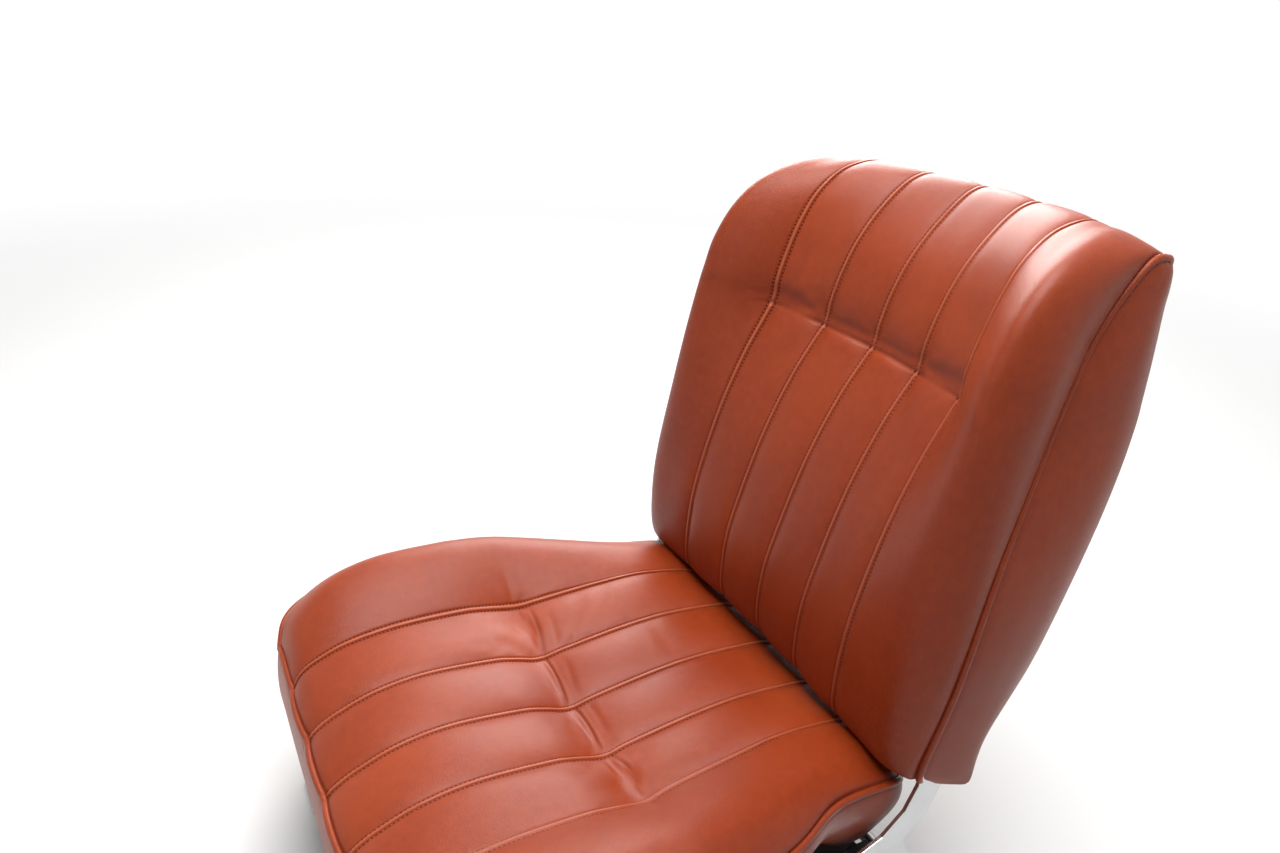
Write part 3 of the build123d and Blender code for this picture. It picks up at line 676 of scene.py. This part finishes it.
def cushion_grids(rows, cols, steps):
    """The cover's top, the band round it, the hem, the hidden inner wall and the underside."""
    top = panel(CUSHION, CUSHION_SEAM, rows, cols, DRAWN_IN)
    ring = np.concatenate([top[:, 0], top[-1, 1:], top[-2::-1, -1], top[0, -2::-1]])
    along = np.roll(ring[:-1], -1, 0) - np.roll(ring[:-1], 1, 0)
    out = np.stack([-along[:, 1], along[:, 0]], 1)
    for _ in range(4):
        out = 0.25 * np.roll(out, 1, 0) + 0.5 * out + 0.25 * np.roll(out, -1, 0)
    out /= np.linalg.norm(out, axis=1, keepdims=True)
    if (out[:, 0] * ring[:-1, 0]).sum() < 0:
        out = -out
    out = np.concatenate([out, out[:1]])
    y = ring[:, 1]
    low = through(*np.array(BAND_LOW, float).T, y)
    lean = np.interp(y, [10, 60, 110, 160], [5.0, 13.0, 13.0, 6.0])
    s = steps[None, :, None]
    plan = ring[:, None, :2] + out[:, None] * (4.5 * np.sin(math.pi * s) ** 0.8 - lean[:, None, None] * s**2)
    height = ring[:, None, 2:] * (1 - s) + low[:, None, None] * s
    band = np.concatenate([plan, height], 2)

    def inner(points):
        well = np.interp(points[..., 1], [22, 60], [WELL_X, CHEEK_X])
        well = np.minimum(well, np.interp(points[..., 1], [150, 205], [CHEEK_X, 166]))
        x = np.clip(points[..., 0], -well, well)
        return np.stack([x, np.clip(points[..., 1], WELL_FRONT, WELL_REAR), np.full(x.shape, UNDERSIDE)], -1)

    wall_top = inner(ring)
    wall_low = np.concatenate([wall_top[:, :2], low[:, None]], 1)
    hem = np.stack([band[:, -1], 0.5 * (band[:, -1] + wall_low) - [0, 0, 1.5], wall_low], 1)
    wall = np.linspace(wall_low, wall_top, 4, axis=1)
    return {"top": top, "band": band, "hem": hem, "wall": wall, "under": inner(top)}


def ring_places(rows, cols):
    """Position round the piped edge of each point of the band."""
    last = rows[-1]
    across_front = last + 4 + cols[1:]
    back_along = 2 * last + 8 - rows[-2::-1]
    across_rear = 2 * last + 12 - cols[-2::-1]
    return np.concatenate([rows, across_front, back_along, across_rear])


steps = np.linspace(0, 1, 13)
wide_steps = np.linspace(0, 1, 7)
rows = fine_rows(LAST_ROW, 105, PINCH_ROW, np.arange(-1.35, 0.3, 0.045))
cols = seam_columns(CUSHION_SEAM, CUSHION_SPREAD)
wide_rows = fine_rows(LAST_ROW, 53, PINCH_ROW, ())
wide_cols = foam_columns(CUSHION_SEAM, CUSHION_SPREAD)

rough = Cover()
rough.add_all(cushion_grids(wide_rows, wide_cols, wide_steps))
rough.sew("cushion_foam")
held = np.ones(len(rough.piece.data.vertices))
held[rough.grids["band"][:, 1:-1]] = 0.0
held[rough.grids["top"][1:-1, 1:-1]] = 0.0
held[rough.grids["top"][:, held_columns(wide_cols, CUSHION_SEAM)]] = 1.0
rough.swell(held, SWELL_CAP, FOAM_PRESSURE)

cover = Cover()
cover.add_all(cushion_grids(rows, cols, steps))
cushion_piece = cover.sew("cushion_cover")
points = cover.read()
points[cover.grids["top"]] += carried(rough.moves("top"), wide_rows, wide_cols, rows, cols)
points[cover.grids["band"]] += carried(
    rough.moves("band"), ring_places(wide_rows, wide_cols), wide_steps, ring_places(rows, cols), steps)
rough.drop()

grid = points[cover.grids["top"]]
normal = normals_of(grid, (0, 0, 1))
height, hollow, rib = sewn_profile(seam_across(cols, CUSHION_SEAM)[None, :], np.ones((len(rows), 1)))
from_edge = np.minimum(side_distance(grid), np.linalg.norm(grid - grid[-1:], axis=2) * 1000)
height = height - PIPED_DIP * ridge(from_edge, 0, PIPED_WIDE)
# The pinch: the channels swell on both sides of it, and their hide gathers there in creases and soft wrinkles
CHANNEL_SWELL = 0.0028
PINCH_DIP = 0.0010
PINCH_GATHER = 0.0012
from_pinch = (grid[:, :, 1] - grid[np.argmin(np.abs(rows - PINCH_ROW))][None, :, 1]) * 1000
inside = 1 / (1 + np.exp((np.abs(cols)[None, :] * CUSHION_SEAM - 138) / 3.0))
phase = cols[None, :] % 1.0
bow = np.sin(math.pi * phase)
away = 1 - ridge(from_pinch, 0, 26.0)
height = height + CHANNEL_SWELL * bow * inside * away * np.clip((170 - grid[:, :, 1] * 1000) / 60, 0, 1)
height -= PINCH_DIP * ridge(from_pinch, 0, 15.0) * inside * bow
height += PINCH_GATHER * ridge(from_pinch, 0, 5.0) * inside * bow
#  channel, mm behind the pinch at its far and near seam, start and end across, half width, depth
WRINKLES = (
    (-2, 12, 6, 0.15, 0.95, 1.8, 0.5), (-2, 27, 20, 0.35, 0.90, 2.6, 0.5), (-2, 66, 34, 0.10, 0.95, 5.0, 1.2),
    (-2, 92, 58, 0.10, 0.90, 6.0, 1.1), (-1, 5, 0, 0.03, 0.97, 1.2, 0.9), (-1, 20, 10, 0.20, 0.80, 3.2, 0.4),
    (-1, 88, 84, 0.10, 0.85, 5.0, 0.9), (-1, 112, 108, 0.05, 0.80, 5.5, 0.7), (0, 5, 0, 0.03, 0.90, 1.2, 1.0),
    (0, 17, 10, 0.10, 0.70, 3.0, 0.4), (1, 6, 8, 0.05, 0.45, 1.3, 0.5), (1, 60, 52, 0.30, 0.80, 6.0, 0.6),
)
crease = np.zeros_like(height)
for channel, behind_far, behind_near, begin, end, half_width, depth in WRINKLES:
    across = cols[None, :] - channel
    path = behind_far + (behind_near - behind_far) * across + 2.0 * np.sin(math.pi * across)
    off = (from_pinch - path) / half_width
    shown = 1 / (1 + np.exp((begin - across) / 0.03)) / (1 + np.exp((across - end) / 0.03))
    height -= 0.001 * depth * np.exp(-(off**2)) * shown
    height += 0.0002 * depth * np.exp(-((off - 2.4) ** 2) / 2.5) * shown
    if half_width < 2:
        crease += np.exp(-((off * 1.1) ** 2)) * shown
grid = grid + normal * height[:, :, None]
points[cover.grids["top"]] = grid
cover.write(points)
# Painted shade: stitch rows (with grime), creases, the fold by the piping, the rear strip by the backrest
piped = ridge(from_edge, PIPED_FOLD, 1.2)
behind = np.clip((grid[:, :, 1] - 0.186) / 0.012, 0, 1)
shade = hollow * 0.3 + crease * 0.3 + piped * 0.5 + behind * 0.9
cover.paint("top", hollow=shade, rib=rib * np.ones_like(height))

hide = leather_finish("pleated_hide", LEATHER_DARK, LEATHER)
hessian, start, shader = finish_of("black_hessian")
weave = start.noise(900.0, 2.0, (1.0, 0.08, 1.0)) * 0.5 + start.noise(900.0, 2.0, (0.08, 1.0, 1.0)) * 0.5
set_finish(shader, start, {
    "Base Color": weave.tint((0.012, 0.011, 0.010, 1), (0.050, 0.046, 0.040, 1)),
    "Roughness": 0.92,
    "Specular IOR Level": 0.15,
    "Normal": bumpy(start, weave, 0.0004),
})
cover.dress([hide, hessian], {"wall": 1, "under": 1})
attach(cushion_piece, "seat_base")
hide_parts("cushion")


# Stitches: waxed thread, in two rows beside each seam's rib, pulled down into the hide. Between them the
# needle's holes are flat dark beads of painted shade.
PITCH_SEWN = 0.0036
STITCH = {"Pitch": PITCH_SEWN, "Shift": 0.0, "Length": 0.0024, "Wide": 0.0010, "Thick": 0.0010}
HOLE = {"Pitch": PITCH_SEWN, "Shift": PITCH_SEWN / 2, "Length": 0.0018, "Wide": 0.0017, "Thick": 0.0007}
STITCH_TREE, entry, put, close = tree_of(
    "stitches", {**{label: ("Float", size) for label, size in STITCH.items()}, "Finish": ("Material", None)})
path = put("GeometryNodeMeshToCurve", {"Mesh": entry.outputs[0]})
beads = put("GeometryNodeResampleCurve", {
    "Curve": path.outputs[0], "Length": entry.outputs["Pitch"]}, mode="LENGTH")
ball = put("GeometryNodeMeshUVSphere", {"Segments": 6, "Rings": 4, "Radius": 0.5})
size = put("ShaderNodeCombineXYZ", {
    "X": entry.outputs["Length"], "Y": entry.outputs["Wide"], "Z": entry.outputs["Thick"]})
along = put("ShaderNodeCombineXYZ", {"X": entry.outputs["Shift"]})
thread_loop = put("GeometryNodeTransform", {
    "Geometry": ball.outputs[0], "Translation": along.outputs[0], "Scale": size.outputs[0]})
soft = put("GeometryNodeSetShadeSmooth", {"Geometry": thread_loop.outputs[0]})
tangent = put("GeometryNodeInputTangent", {})
lean = put("FunctionNodeAlignRotationToVector", {"Vector": tangent.outputs[0]}, axis="X")
outside = put("GeometryNodeInputNamedAttribute", {"Name": "aim"}, data_type="FLOAT_VECTOR")
lean = put("FunctionNodeAlignRotationToVector", {"Rotation": lean.outputs[0], "Vector": outside.outputs[0]},
           axis="Z", pivot_axis="X")
sewn = put("GeometryNodeInstanceOnPoints", {
    "Points": beads.outputs[0], "Instance": soft.outputs[0], "Rotation": lean.outputs[0]})
close(sewn.outputs[0], entry.outputs["Finish"])

thread, start, shader = finish_of("waxed_thread")
twist = start.noise(2200.0, 2.0)
set_finish(shader, start, {
    "Base Color": twist.tint((0.24, 0.030, 0.008, 1), (0.44, 0.085, 0.030, 1)),
    "Roughness": twist * 0.2 + 0.42,
    "Normal": bumpy(start, twist, 0.0002),
})
# Painted shade: the needle's holes are flat dark beads laid on the hide
hole_shade_finish, start, shader = finish_of("needle_hole_shade")
set_finish(shader, start, {
    "Base Color": start.noise(900.0).tint((0.020, 0.002, 0.001, 1), (0.050, 0.006, 0.002, 1)),
    "Roughness": 0.85,
    "Specular IOR Level": 0.1,
})


def stitch_rows(name, grid, normal, cols, seam, keep, body):
    """Two rows of stitches by every seam of a panel, with painted shade for the needle's holes between them.
    """
    points = []
    aims = []
    edges = []
    for i in range(-2, 3):
        for side in (-STITCH_OUT, STITCH_OUT):
            want = i + side / seam
            j = int(np.clip(np.searchsorted(cols, want), 1, len(cols) - 1))
            t = (want - cols[j - 1]) / (cols[j] - cols[j - 1])
            line = grid[:, j - 1] * (1 - t) + grid[:, j] * t
            aim = normal[:, j - 1] * (1 - t) + normal[:, j] * t
            for run in keep:
                first = len(points)
                picked = line[run] + aim[run] * 0.0001
                points += picked.tolist()
                aims += aim[run].tolist()
                edges += [(first + k, first + k + 1) for k in range(len(picked) - 1)]
    mesh = points_mesh(name, points, edges, aim=aims)
    holes = mesh.copy()
    grown(name + "_stitches", mesh, STITCH_TREE, {**STITCH, "Finish": thread}, body)
    grown(name + "_needle_hole_shade", holes, STITCH_TREE, {**HOLE, "Finish": hole_shade_finish}, body)


near_pinch = int(np.argmin(np.abs(rows - PINCH_ROW)))
stitch_rows("cushion", grid, normals_of(grid, (0, 0, 1)), cols, CUSHION_SEAM,
            [slice(4, near_pinch - 1), slice(near_pinch + 1, len(rows) - 2)], "seat_base")


# Piping: a cord in a folded strip of the same hide, sewn in where the top meets the band. It goes all the way
# round the cushion, with its ends joined.
PIPING_RADIUS = 0.0030
PIPING_PITCH = 0.004


def piping(name, line, radius, body, closed=False):
    curve = bpy.data.curves.new(name, "CURVE")
    curve.dimensions = "3D"
    curve.bevel_depth = radius
    curve.bevel_resolution = 3
    curve.use_fill_caps = True
    spline = curve.splines.new("POLY")
    spline.points.add(len(line) - 1)
    spline.points.foreach_set("co", np.concatenate([line, np.ones((len(line), 1))], 1).ravel())
    spline.use_cyclic_u = closed
    maker = bpy.data.objects.new(name + "_line", curve)
    bpy.context.scene.collection.objects.link(maker)
    graph = bpy.context.evaluated_depsgraph_get()
    mesh = bpy.data.meshes.new_from_object(maker.evaluated_get(graph))
    bpy.data.objects.remove(maker)
    mesh.shade_smooth()
    mesh.materials.clear()
    mesh.materials.append(hide)
    piece = bpy.data.objects.new(name, mesh)
    bpy.context.scene.collection.objects.link(piece)
    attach(piece, body)
    return piece


def spaced(line, count):
    """This many points along a line, evenly spaced."""
    run = np.concatenate([[0], np.cumsum(np.linalg.norm(np.diff(line, axis=0), axis=1))])
    at = np.linspace(0, run[-1], count)
    return np.stack([np.interp(at, run, along) for along in line.T], 1)


def evened(line):
    """Points along a piped edge, lightly smoothed and evenly spaced."""
    soft = line.copy()
    for _ in range(3):
        soft[1:-1] = 0.25 * soft[:-2] + 0.5 * soft[1:-1] + 0.25 * soft[2:]
    length = np.linalg.norm(np.diff(soft, axis=0), axis=1).sum()
    return spaced(soft, int(length / PIPING_PITCH))


rim = points[cover.grids["band"][:, 0]]
outward = points[cover.grids["band"][:, 1]] - rim
outward[:, 2] = 0.0
outward /= np.maximum(np.linalg.norm(outward, axis=1, keepdims=True), 1e-6)
piping("cushion_piping", evened(rim + outward * 0.0010)[:-1], PIPING_RADIUS, "seat_base", closed=True)


# Backrest: foam under the same pleated hide on a tube frame. The seams are drawn in across the back, the side
# panels are plain with piped edges, and the arms go up into slots in the lower corners.
BACKREST = (
    (196, 213, 190, 213, 184, 186, 213, 5, 209, 189, 216),
    (178, 222, 172, 222, 187, 168, 223, 6, 212, 184, 223),
    (169, 243, 163, 243, 188, 159, 245, 7, 214, 184, 243),
    (168, 290, 162, 290, 190, 156, 290, 8, 216, 193, 290),
    (177, 335, 167, 335, 191, 159, 337, 9, 216, 201, 336),
    (198, 405, 184, 405, 190, 168, 407, 10, 209, 219, 408),
    (224, 463, 206, 463, 188, 176, 465, 12, 200, 240, 457),
    (252, 508, 231, 512, 186, 184, 512, 14, 192, 258, 497),
    (257, 530, 234, 535, 184, 188, 535, 15, 190, 265, 520),
    (265, 560, 241, 562, 183, 196, 564, 14, 188, 274, 545),
    (280, 590, 252, 592, 180, 213, 596, 12, 184, 287, 570),
    (304, 619, 269, 620, 175, 240, 622, 9, 182, 305, 598),
    (330, 641, 296, 640, 166, 279, 639, 6, 181, 326, 623),
    (352, 645, 334, 646, 156, 324, 645, 4, 180, 341, 632),
    (364, 630, 362, 631, 150, 357, 634, 2, 178, 354, 631),
)
#  the side panel's rear edge beside each row: x, y, z
BACK_REAR = (
    (203, 268, 243), (204, 272, 249), (204, 278, 259), (204, 297, 292), (203, 313, 336), (200, 336, 407),
    (197, 350, 459), (194, 357, 500), (191, 360, 522), (188, 362, 548), (185, 363, 573), (183, 363, 592),
    (182, 363, 606), (180, 362, 620), (178, 354, 631),
)
#  the side panel's lower edge, front to rear: y, z
SIDE_HEM = ((189, 216), (204, 211), (220, 206), (234, 202), (237, 213), (240, 228), (252, 234), (268, 243))
BACK_SEAM = 61.5
BACK_SPREAD = 118.0
BREAK_ROW = 7.0
REAR_TURN = 15.0


def backrest_grids(rows, cols, steps):
    """The cover's front, its side panels, the rear and the base."""
    front = panel(BACKREST, BACK_SEAM, rows, cols)
    rear_line = through(np.arange(len(BACK_REAR)), np.array(BACK_REAR, float), rows)
    mirror = np.array([-1.0, 1.0, 1.0])
    hem = through(np.linspace(0, 1, len(SIDE_HEM)), np.array(SIDE_HEM, float), steps)
    first, last = np.array([SIDE_HEM[0], SIDE_HEM[-1]], float)
    straight = first * (1 - steps[:, None]) + last * steps[:, None]
    sides = []
    for edge, sign in ((front[:, 0], -1), (front[:, -1], 1)):
        corner = rear_line * (mirror if sign < 0 else 1)
        width = np.linalg.norm(corner - edge, axis=1)[:, None]
        over_arm = 4.5 * np.clip(1 - rows / 3, 0, 1)[:, None]
        bulge = np.array([sign, 0, 0]) * (np.minimum(7.0, width * 0.09) + over_arm)
        turn = np.minimum(REAR_TURN, width * 0.3)
        keys = np.stack([
            edge,
            0.6 * edge + 0.4 * corner + bulge,
            0.2 * edge + 0.8 * corner + 0.75 * bulge,
            corner - turn * [0.15 * sign, 0.0, 0.0],
            corner + turn * [-sign, 0.12, 0.0],
        ])
        side = through([0, 0.36, 0.72, 0.87, 1], keys, steps).transpose(1, 0, 2)
        side[:, :, 1:] += (hem - straight)[None] * np.clip(1 - rows / 2.5, 0, 1)[:, None, None]
        sides.append(side)
    right, left = sides
    u = ((cols - cols[0]) / (cols[-1] - cols[0]))[None, :, None]
    rear = right[:, -1:] * (1 - u) + left[:, -1:] * u
    over = np.clip((rows - 11.5) / (rows[-1] - 11.5), 0, 1)[:, None, None] ** 2
    rear = rear + over * (front[-1:] - rear[-1:])
    v = steps[None, :, None]
    base = right[0][None] * (1 - u.transpose(1, 0, 2)) + left[0][None] * u.transpose(1, 0, 2)
    base = base + (front[0][:, None] - base[:, :1]) * (1 - v) + (rear[0][:, None] - base[:, -1:]) * v
    return {"front": front, "right": right, "left": left, "rear": rear, "base": base}


rows = fine_rows(14, 127, BREAK_ROW, (-0.12, -0.07, -0.03, 0.03, 0.07, 0.12))
cols = seam_columns(BACK_SEAM, BACK_SPREAD)
steps = np.linspace(0, 1, 21)
wide_rows = fine_rows(14, 57, BREAK_ROW, ())
wide_cols = foam_columns(BACK_SEAM, BACK_SPREAD)
wide_steps = np.linspace(0, 1, 9)

rough = Cover()
rough.add_all(backrest_grids(wide_rows, wide_cols, wide_steps))
rough.sew("backrest_foam")
held = np.ones(len(rough.piece.data.vertices))
for part in ("front", "left", "right"):
    held[rough.grids[part][1:-1, 1:-1]] = 0.0
held[rough.grids["front"][np.ix_(wide_rows < 13.3, held_columns(wide_cols, BACK_SEAM))]] = 1.0
rough.swell(held, SWELL_CAP, FOAM_PRESSURE)

cover = Cover()
cover.add_all(backrest_grids(rows, cols, steps))
backrest_piece = cover.sew("backrest_cover")
points = cover.read()
points[cover.grids["front"]] += carried(rough.moves("front"), wide_rows, wide_cols, rows, cols)
for part in ("left", "right"):
    points[cover.grids[part]] += carried(rough.moves(part), wide_rows, wide_steps, rows, steps)
rough.drop()

grid = points[cover.grids["front"]]
normal = normals_of(grid, (0, -1, 0.3))
fade = 1 - 0.6 * np.clip((rows - 12.4) / 1.2, 0, 1)
height, hollow, rib = sewn_profile(seam_across(cols, BACK_SEAM)[None, :], fade[:, None])
# The break: the upper foam rolls over a tuck that is deepest at the seams
TUCK_DEPTH = 0.0020
TUCK_SAG = 0.0006
LOWER_BULGE = 0.0014
UPPER_ROLL = 0.0016
CHANNEL_BOW = 0.0016
run = np.cumsum(np.linalg.norm(np.diff(grid, axis=0, prepend=grid[:1]), axis=2), axis=0) * 1000
beyond = run - run[np.argmin(np.abs(rows - BREAK_ROW))][None, :]
inside = 1 / (1 + np.exp((np.abs(cols)[None, :] * BACK_SEAM - 127) / 4.0))
phase = cols[None, :] % 1.0
bow = np.sin(math.pi * phase)
fullness = np.interp(cols, [-1.5, -1, -0.5, 0, 0.5, 1, 1.5], [0.05, 0.3, 0.7, 0.5, 1.0, 0.3, 0.05])[None, :]
fold = beyond + 2.5 * bow * (1 - fullness)
deep = inside * (1 - bow * (1 - 0.9 * fullness))
height = height * (1 - 0.6 * ridge(fold, 0, 4.0) * inside)
height -= TUCK_DEPTH * ridge(fold, 0, 2.4) * deep
height -= TUCK_SAG * ridge(fold, -1, 9.0) * inside * (1 - 0.5 * bow)
height += LOWER_BULGE * ridge(fold, -8, 4.5) * inside * bow * fullness
height += UPPER_ROLL * ridge(fold, 28, 19.0) * inside * (0.3 + 0.7 * bow)
height += CHANNEL_BOW * bow**0.7 * inside * fade[:, None]
sides = side_distance(grid)
height -= PIPED_DIP * ridge(sides, 0, PIPED_WIDE)
grid = grid + normal * height[:, :, None]
points[cover.grids["front"]] = grid
cover.write(points)
# Painted shade: stitch rows (with grime), the fold by the piping, the tuck's crease, the foot by the cushion
piped = ridge(sides, PIPED_FOLD, 1.2)
tucked = np.clip((0.224 - grid[:, :, 2]) / 0.010, 0, 1)
shade = hollow * 0.3 + piped * 0.5 + 0.2 * ridge(fold, 0, 1.6) * deep + tucked * 0.9
cover.paint("front", hollow=shade, rib=rib * np.ones_like(run))
cover.dress([hide, hessian], {"base": 1})
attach(backrest_piece, "backrest")
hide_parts("backrest")

near_break = int(np.argmin(np.abs(rows - BREAK_ROW)))
last_row = int(np.argmin(np.abs(rows - 13.0)))
stitch_rows("backrest", grid, normals_of(grid, (0, -1, 0.3)), cols, BACK_SEAM,
            [slice(8, near_break - 1), slice(near_break + 2, last_row)], "backrest")
for side, edge, sign in (("left", -1, 1), ("right", 0, -1)):
    up_front = points[cover.grids["front"][:, edge]]
    down_rear = points[cover.grids[side][:, -1]][::-1][1:]
    loop = np.concatenate([up_front, down_rear])
    loop[:, 0] += sign * 0.0012
    piping("backrest_piping_" + side, evened(loop), PIPING_RADIUS, "backrest")


# Back board: hardboard covered in the same hide, with a beaded edge. Four screws in cup washers hold it in
# the back of the seat.
coat_nodes(hide, "back_board")
BOARD_HALF = 0.174
BOARD_CORNER = 0.045
BEAD_RADIUS = 0.0022
SCREW_X = 0.150
SCREW_LOW = 0.290
SCREW_HIGH = 0.570
board = nodes["back_board"]
low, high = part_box("back_board")


def on_board(x, z, off):
    """Points this far off the board's outer face."""
    inside = np.clip(z, low[2] + 0.004, high[2] - 0.004)
    y = [board.ray_cast((0, 1, height), (0, -1, 0))[1].y for height in inside]
    return np.stack([x, np.array(y) + off, z], 1)


turn = np.radians(np.arange(0, 360, 9))
x = BOARD_CORNER * np.cos(turn) + (BOARD_HALF - BOARD_CORNER) * np.sign(np.cos(turn + 1e-6))
z_middle = 0.5 * (low[2] + high[2])
z_half = 0.5 * (high[2] - low[2]) - 0.002
z = z_middle + BOARD_CORNER * np.sin(turn) + (z_half - BOARD_CORNER) * np.sign(np.sin(turn + 1e-6))
flat = np.stack([x, z], 1)
flat = spaced(np.concatenate([flat, flat[:1]]), 360)[:-1]
outline = on_board(flat[:, 0], flat[:, 1], -0.0002)
piping("back_board_bead", outline, BEAD_RADIUS, "backrest", closed=True)

screw_x = np.array([-SCREW_X, SCREW_X, -SCREW_X, SCREW_X])
screw_z = np.array([SCREW_LOW, SCREW_LOW, SCREW_HIGH, SCREW_HIGH])
screw_places = on_board(screw_x, screw_z, 0.0006)
aims = [(0, 0.93, -0.36), (0, 0.93, -0.36), (0, 0.99, -0.11), (0, 0.99, -0.11)]
grown("back_board_screws", points_mesh("back_board_screws", screw_places, aim=aims), HEAD_TREE,
      {"Radius": 0.0036, "Height": 0.0016, "Washer": 0.0068, "Sides": 20, "Finish": steel},
      "backrest")


# Studio: a pale floor that runs into a white surround, and soft light from above and behind the far side. The
# camera stands where the photograph was taken from.
floor_mesh = bpy.data.meshes.new("studio_floor")
floor_mesh.from_pydata([(-12, -12, 0), (12, -12, 0), (12, 12, 0), (-12, 12, 0)], [], [(0, 1, 2, 3)])
floor = bpy.data.objects.new("studio_floor", floor_mesh)
bpy.context.scene.collection.objects.link(floor)
pale, start, shader = finish_of("pale_floor")
set_finish(shader, start, {
    "Base Color": start.noise(3.0).tint((0.66, 0.655, 0.645, 1), (0.69, 0.685, 0.675, 1)),
    "Roughness": 0.9,
})
away = start.node("VectorMath", {0: start.node("TexCoord", {}, out=3)}, out=1, operation="LENGTH")
white = pale.node_tree.nodes.new("ShaderNodeEmission")
rim_mix = pale.node_tree.nodes.new("ShaderNodeMixShader")
CAMERA_RAY, GLOSSY_RAY, TRANSMISSION_RAY = 0, 3, 6


def ray_shows(start):
    """One for a ray by which the studio itself is seen, straight or in a mirror, and none for its light."""
    straight, mirrored, refracted = (
        start.node("LightPath", {}, out=ray) for ray in (CAMERA_RAY, GLOSSY_RAY, TRANSMISSION_RAY))
    return start.math("MINIMUM", straight + mirrored + refracted, 1.0)


pale.node_tree.links.new((away.between(0.9, 3.2) * ray_shows(start)).socket, rim_mix.inputs[0])
pale.node_tree.links.new(shader.outputs[0], rim_mix.inputs[1])
pale.node_tree.links.new(white.outputs[0], rim_mix.inputs[2])
pale.node_tree.links.new(rim_mix.outputs[0], pale.node_tree.nodes["Material Output"].inputs["Surface"])
floor_mesh.materials.append(pale)

world = bpy.data.worlds.new("studio_sky")
bpy.context.scene.world = world
world.use_nodes = True
sky = Wire(world.node_tree)
ground = world.node_tree.nodes["Background"]
backdrop = ray_shows(sky).tint((0.13, 0.14, 0.15, 1), (1.0, 1.0, 1.0, 1))
world.node_tree.links.new(backdrop.socket, ground.inputs["Color"])


def soft_box(name, place, target, size, watts, colour):
    lamp = bpy.data.lights.new(name, "AREA")
    lamp.shape = "RECTANGLE"
    lamp.size, lamp.size_y = size
    lamp.energy = watts
    lamp.color = colour
    holder = bpy.data.objects.new(name, lamp)
    bpy.context.scene.collection.objects.link(holder)
    aim = Vector(target) - Vector(place)
    holder.matrix_world = Matrix.Translation(place) @ aim.to_track_quat("-Z", "Y").to_matrix().to_4x4()
    holder.visible_camera = False


soft_box("window", (-2.1, 1.4, 1.7), (0, 0, 0.3), (2.0, 1.3), 80, (1.0, 0.99, 0.98))
soft_box("overhead", (0.0, 0.0, 2.4), (0, 0, 0.2), (1.8, 1.4), 80, (1.0, 1.0, 1.0))
soft_box("front_fill", (0.5, -2.4, 1.4), (0, 0, 0.3), (1.4, 1.0), 7, (1.0, 0.98, 0.96))

YAW, PITCH, ROLL = (math.radians(a) for a in (59.96, 24.69, 4.7))
CAMERA_PLACE = (0.5972, -0.3210, 0.7818)
PHOTO_WIDTH = 1280
FOCAL_PIXELS = 959.4
FILM_WIDTH = 36.0
ahead = Vector((-math.sin(YAW) * math.cos(PITCH), math.cos(YAW) * math.cos(PITCH), -math.sin(PITCH)))
level_right = Vector((math.cos(YAW), math.sin(YAW), 0))
level_up = level_right.cross(ahead)
right = math.cos(ROLL) * level_right + math.sin(ROLL) * level_up
up = math.cos(ROLL) * level_up - math.sin(ROLL) * level_right
view = bpy.data.cameras.new("photographer")
view.sensor_width = FILM_WIDTH
view.lens = FOCAL_PIXELS / PHOTO_WIDTH * FILM_WIDTH
view.clip_start = 0.02
photographer = bpy.data.objects.new("photographer", view)
bpy.context.scene.collection.objects.link(photographer)
turned = Matrix((right, up, -ahead)).transposed().to_4x4()
photographer.matrix_world = Matrix.Translation(CAMERA_PLACE) @ turned
bpy.context.scene.camera = photographer
bpy.context.scene.view_settings.view_transform = "Standard"
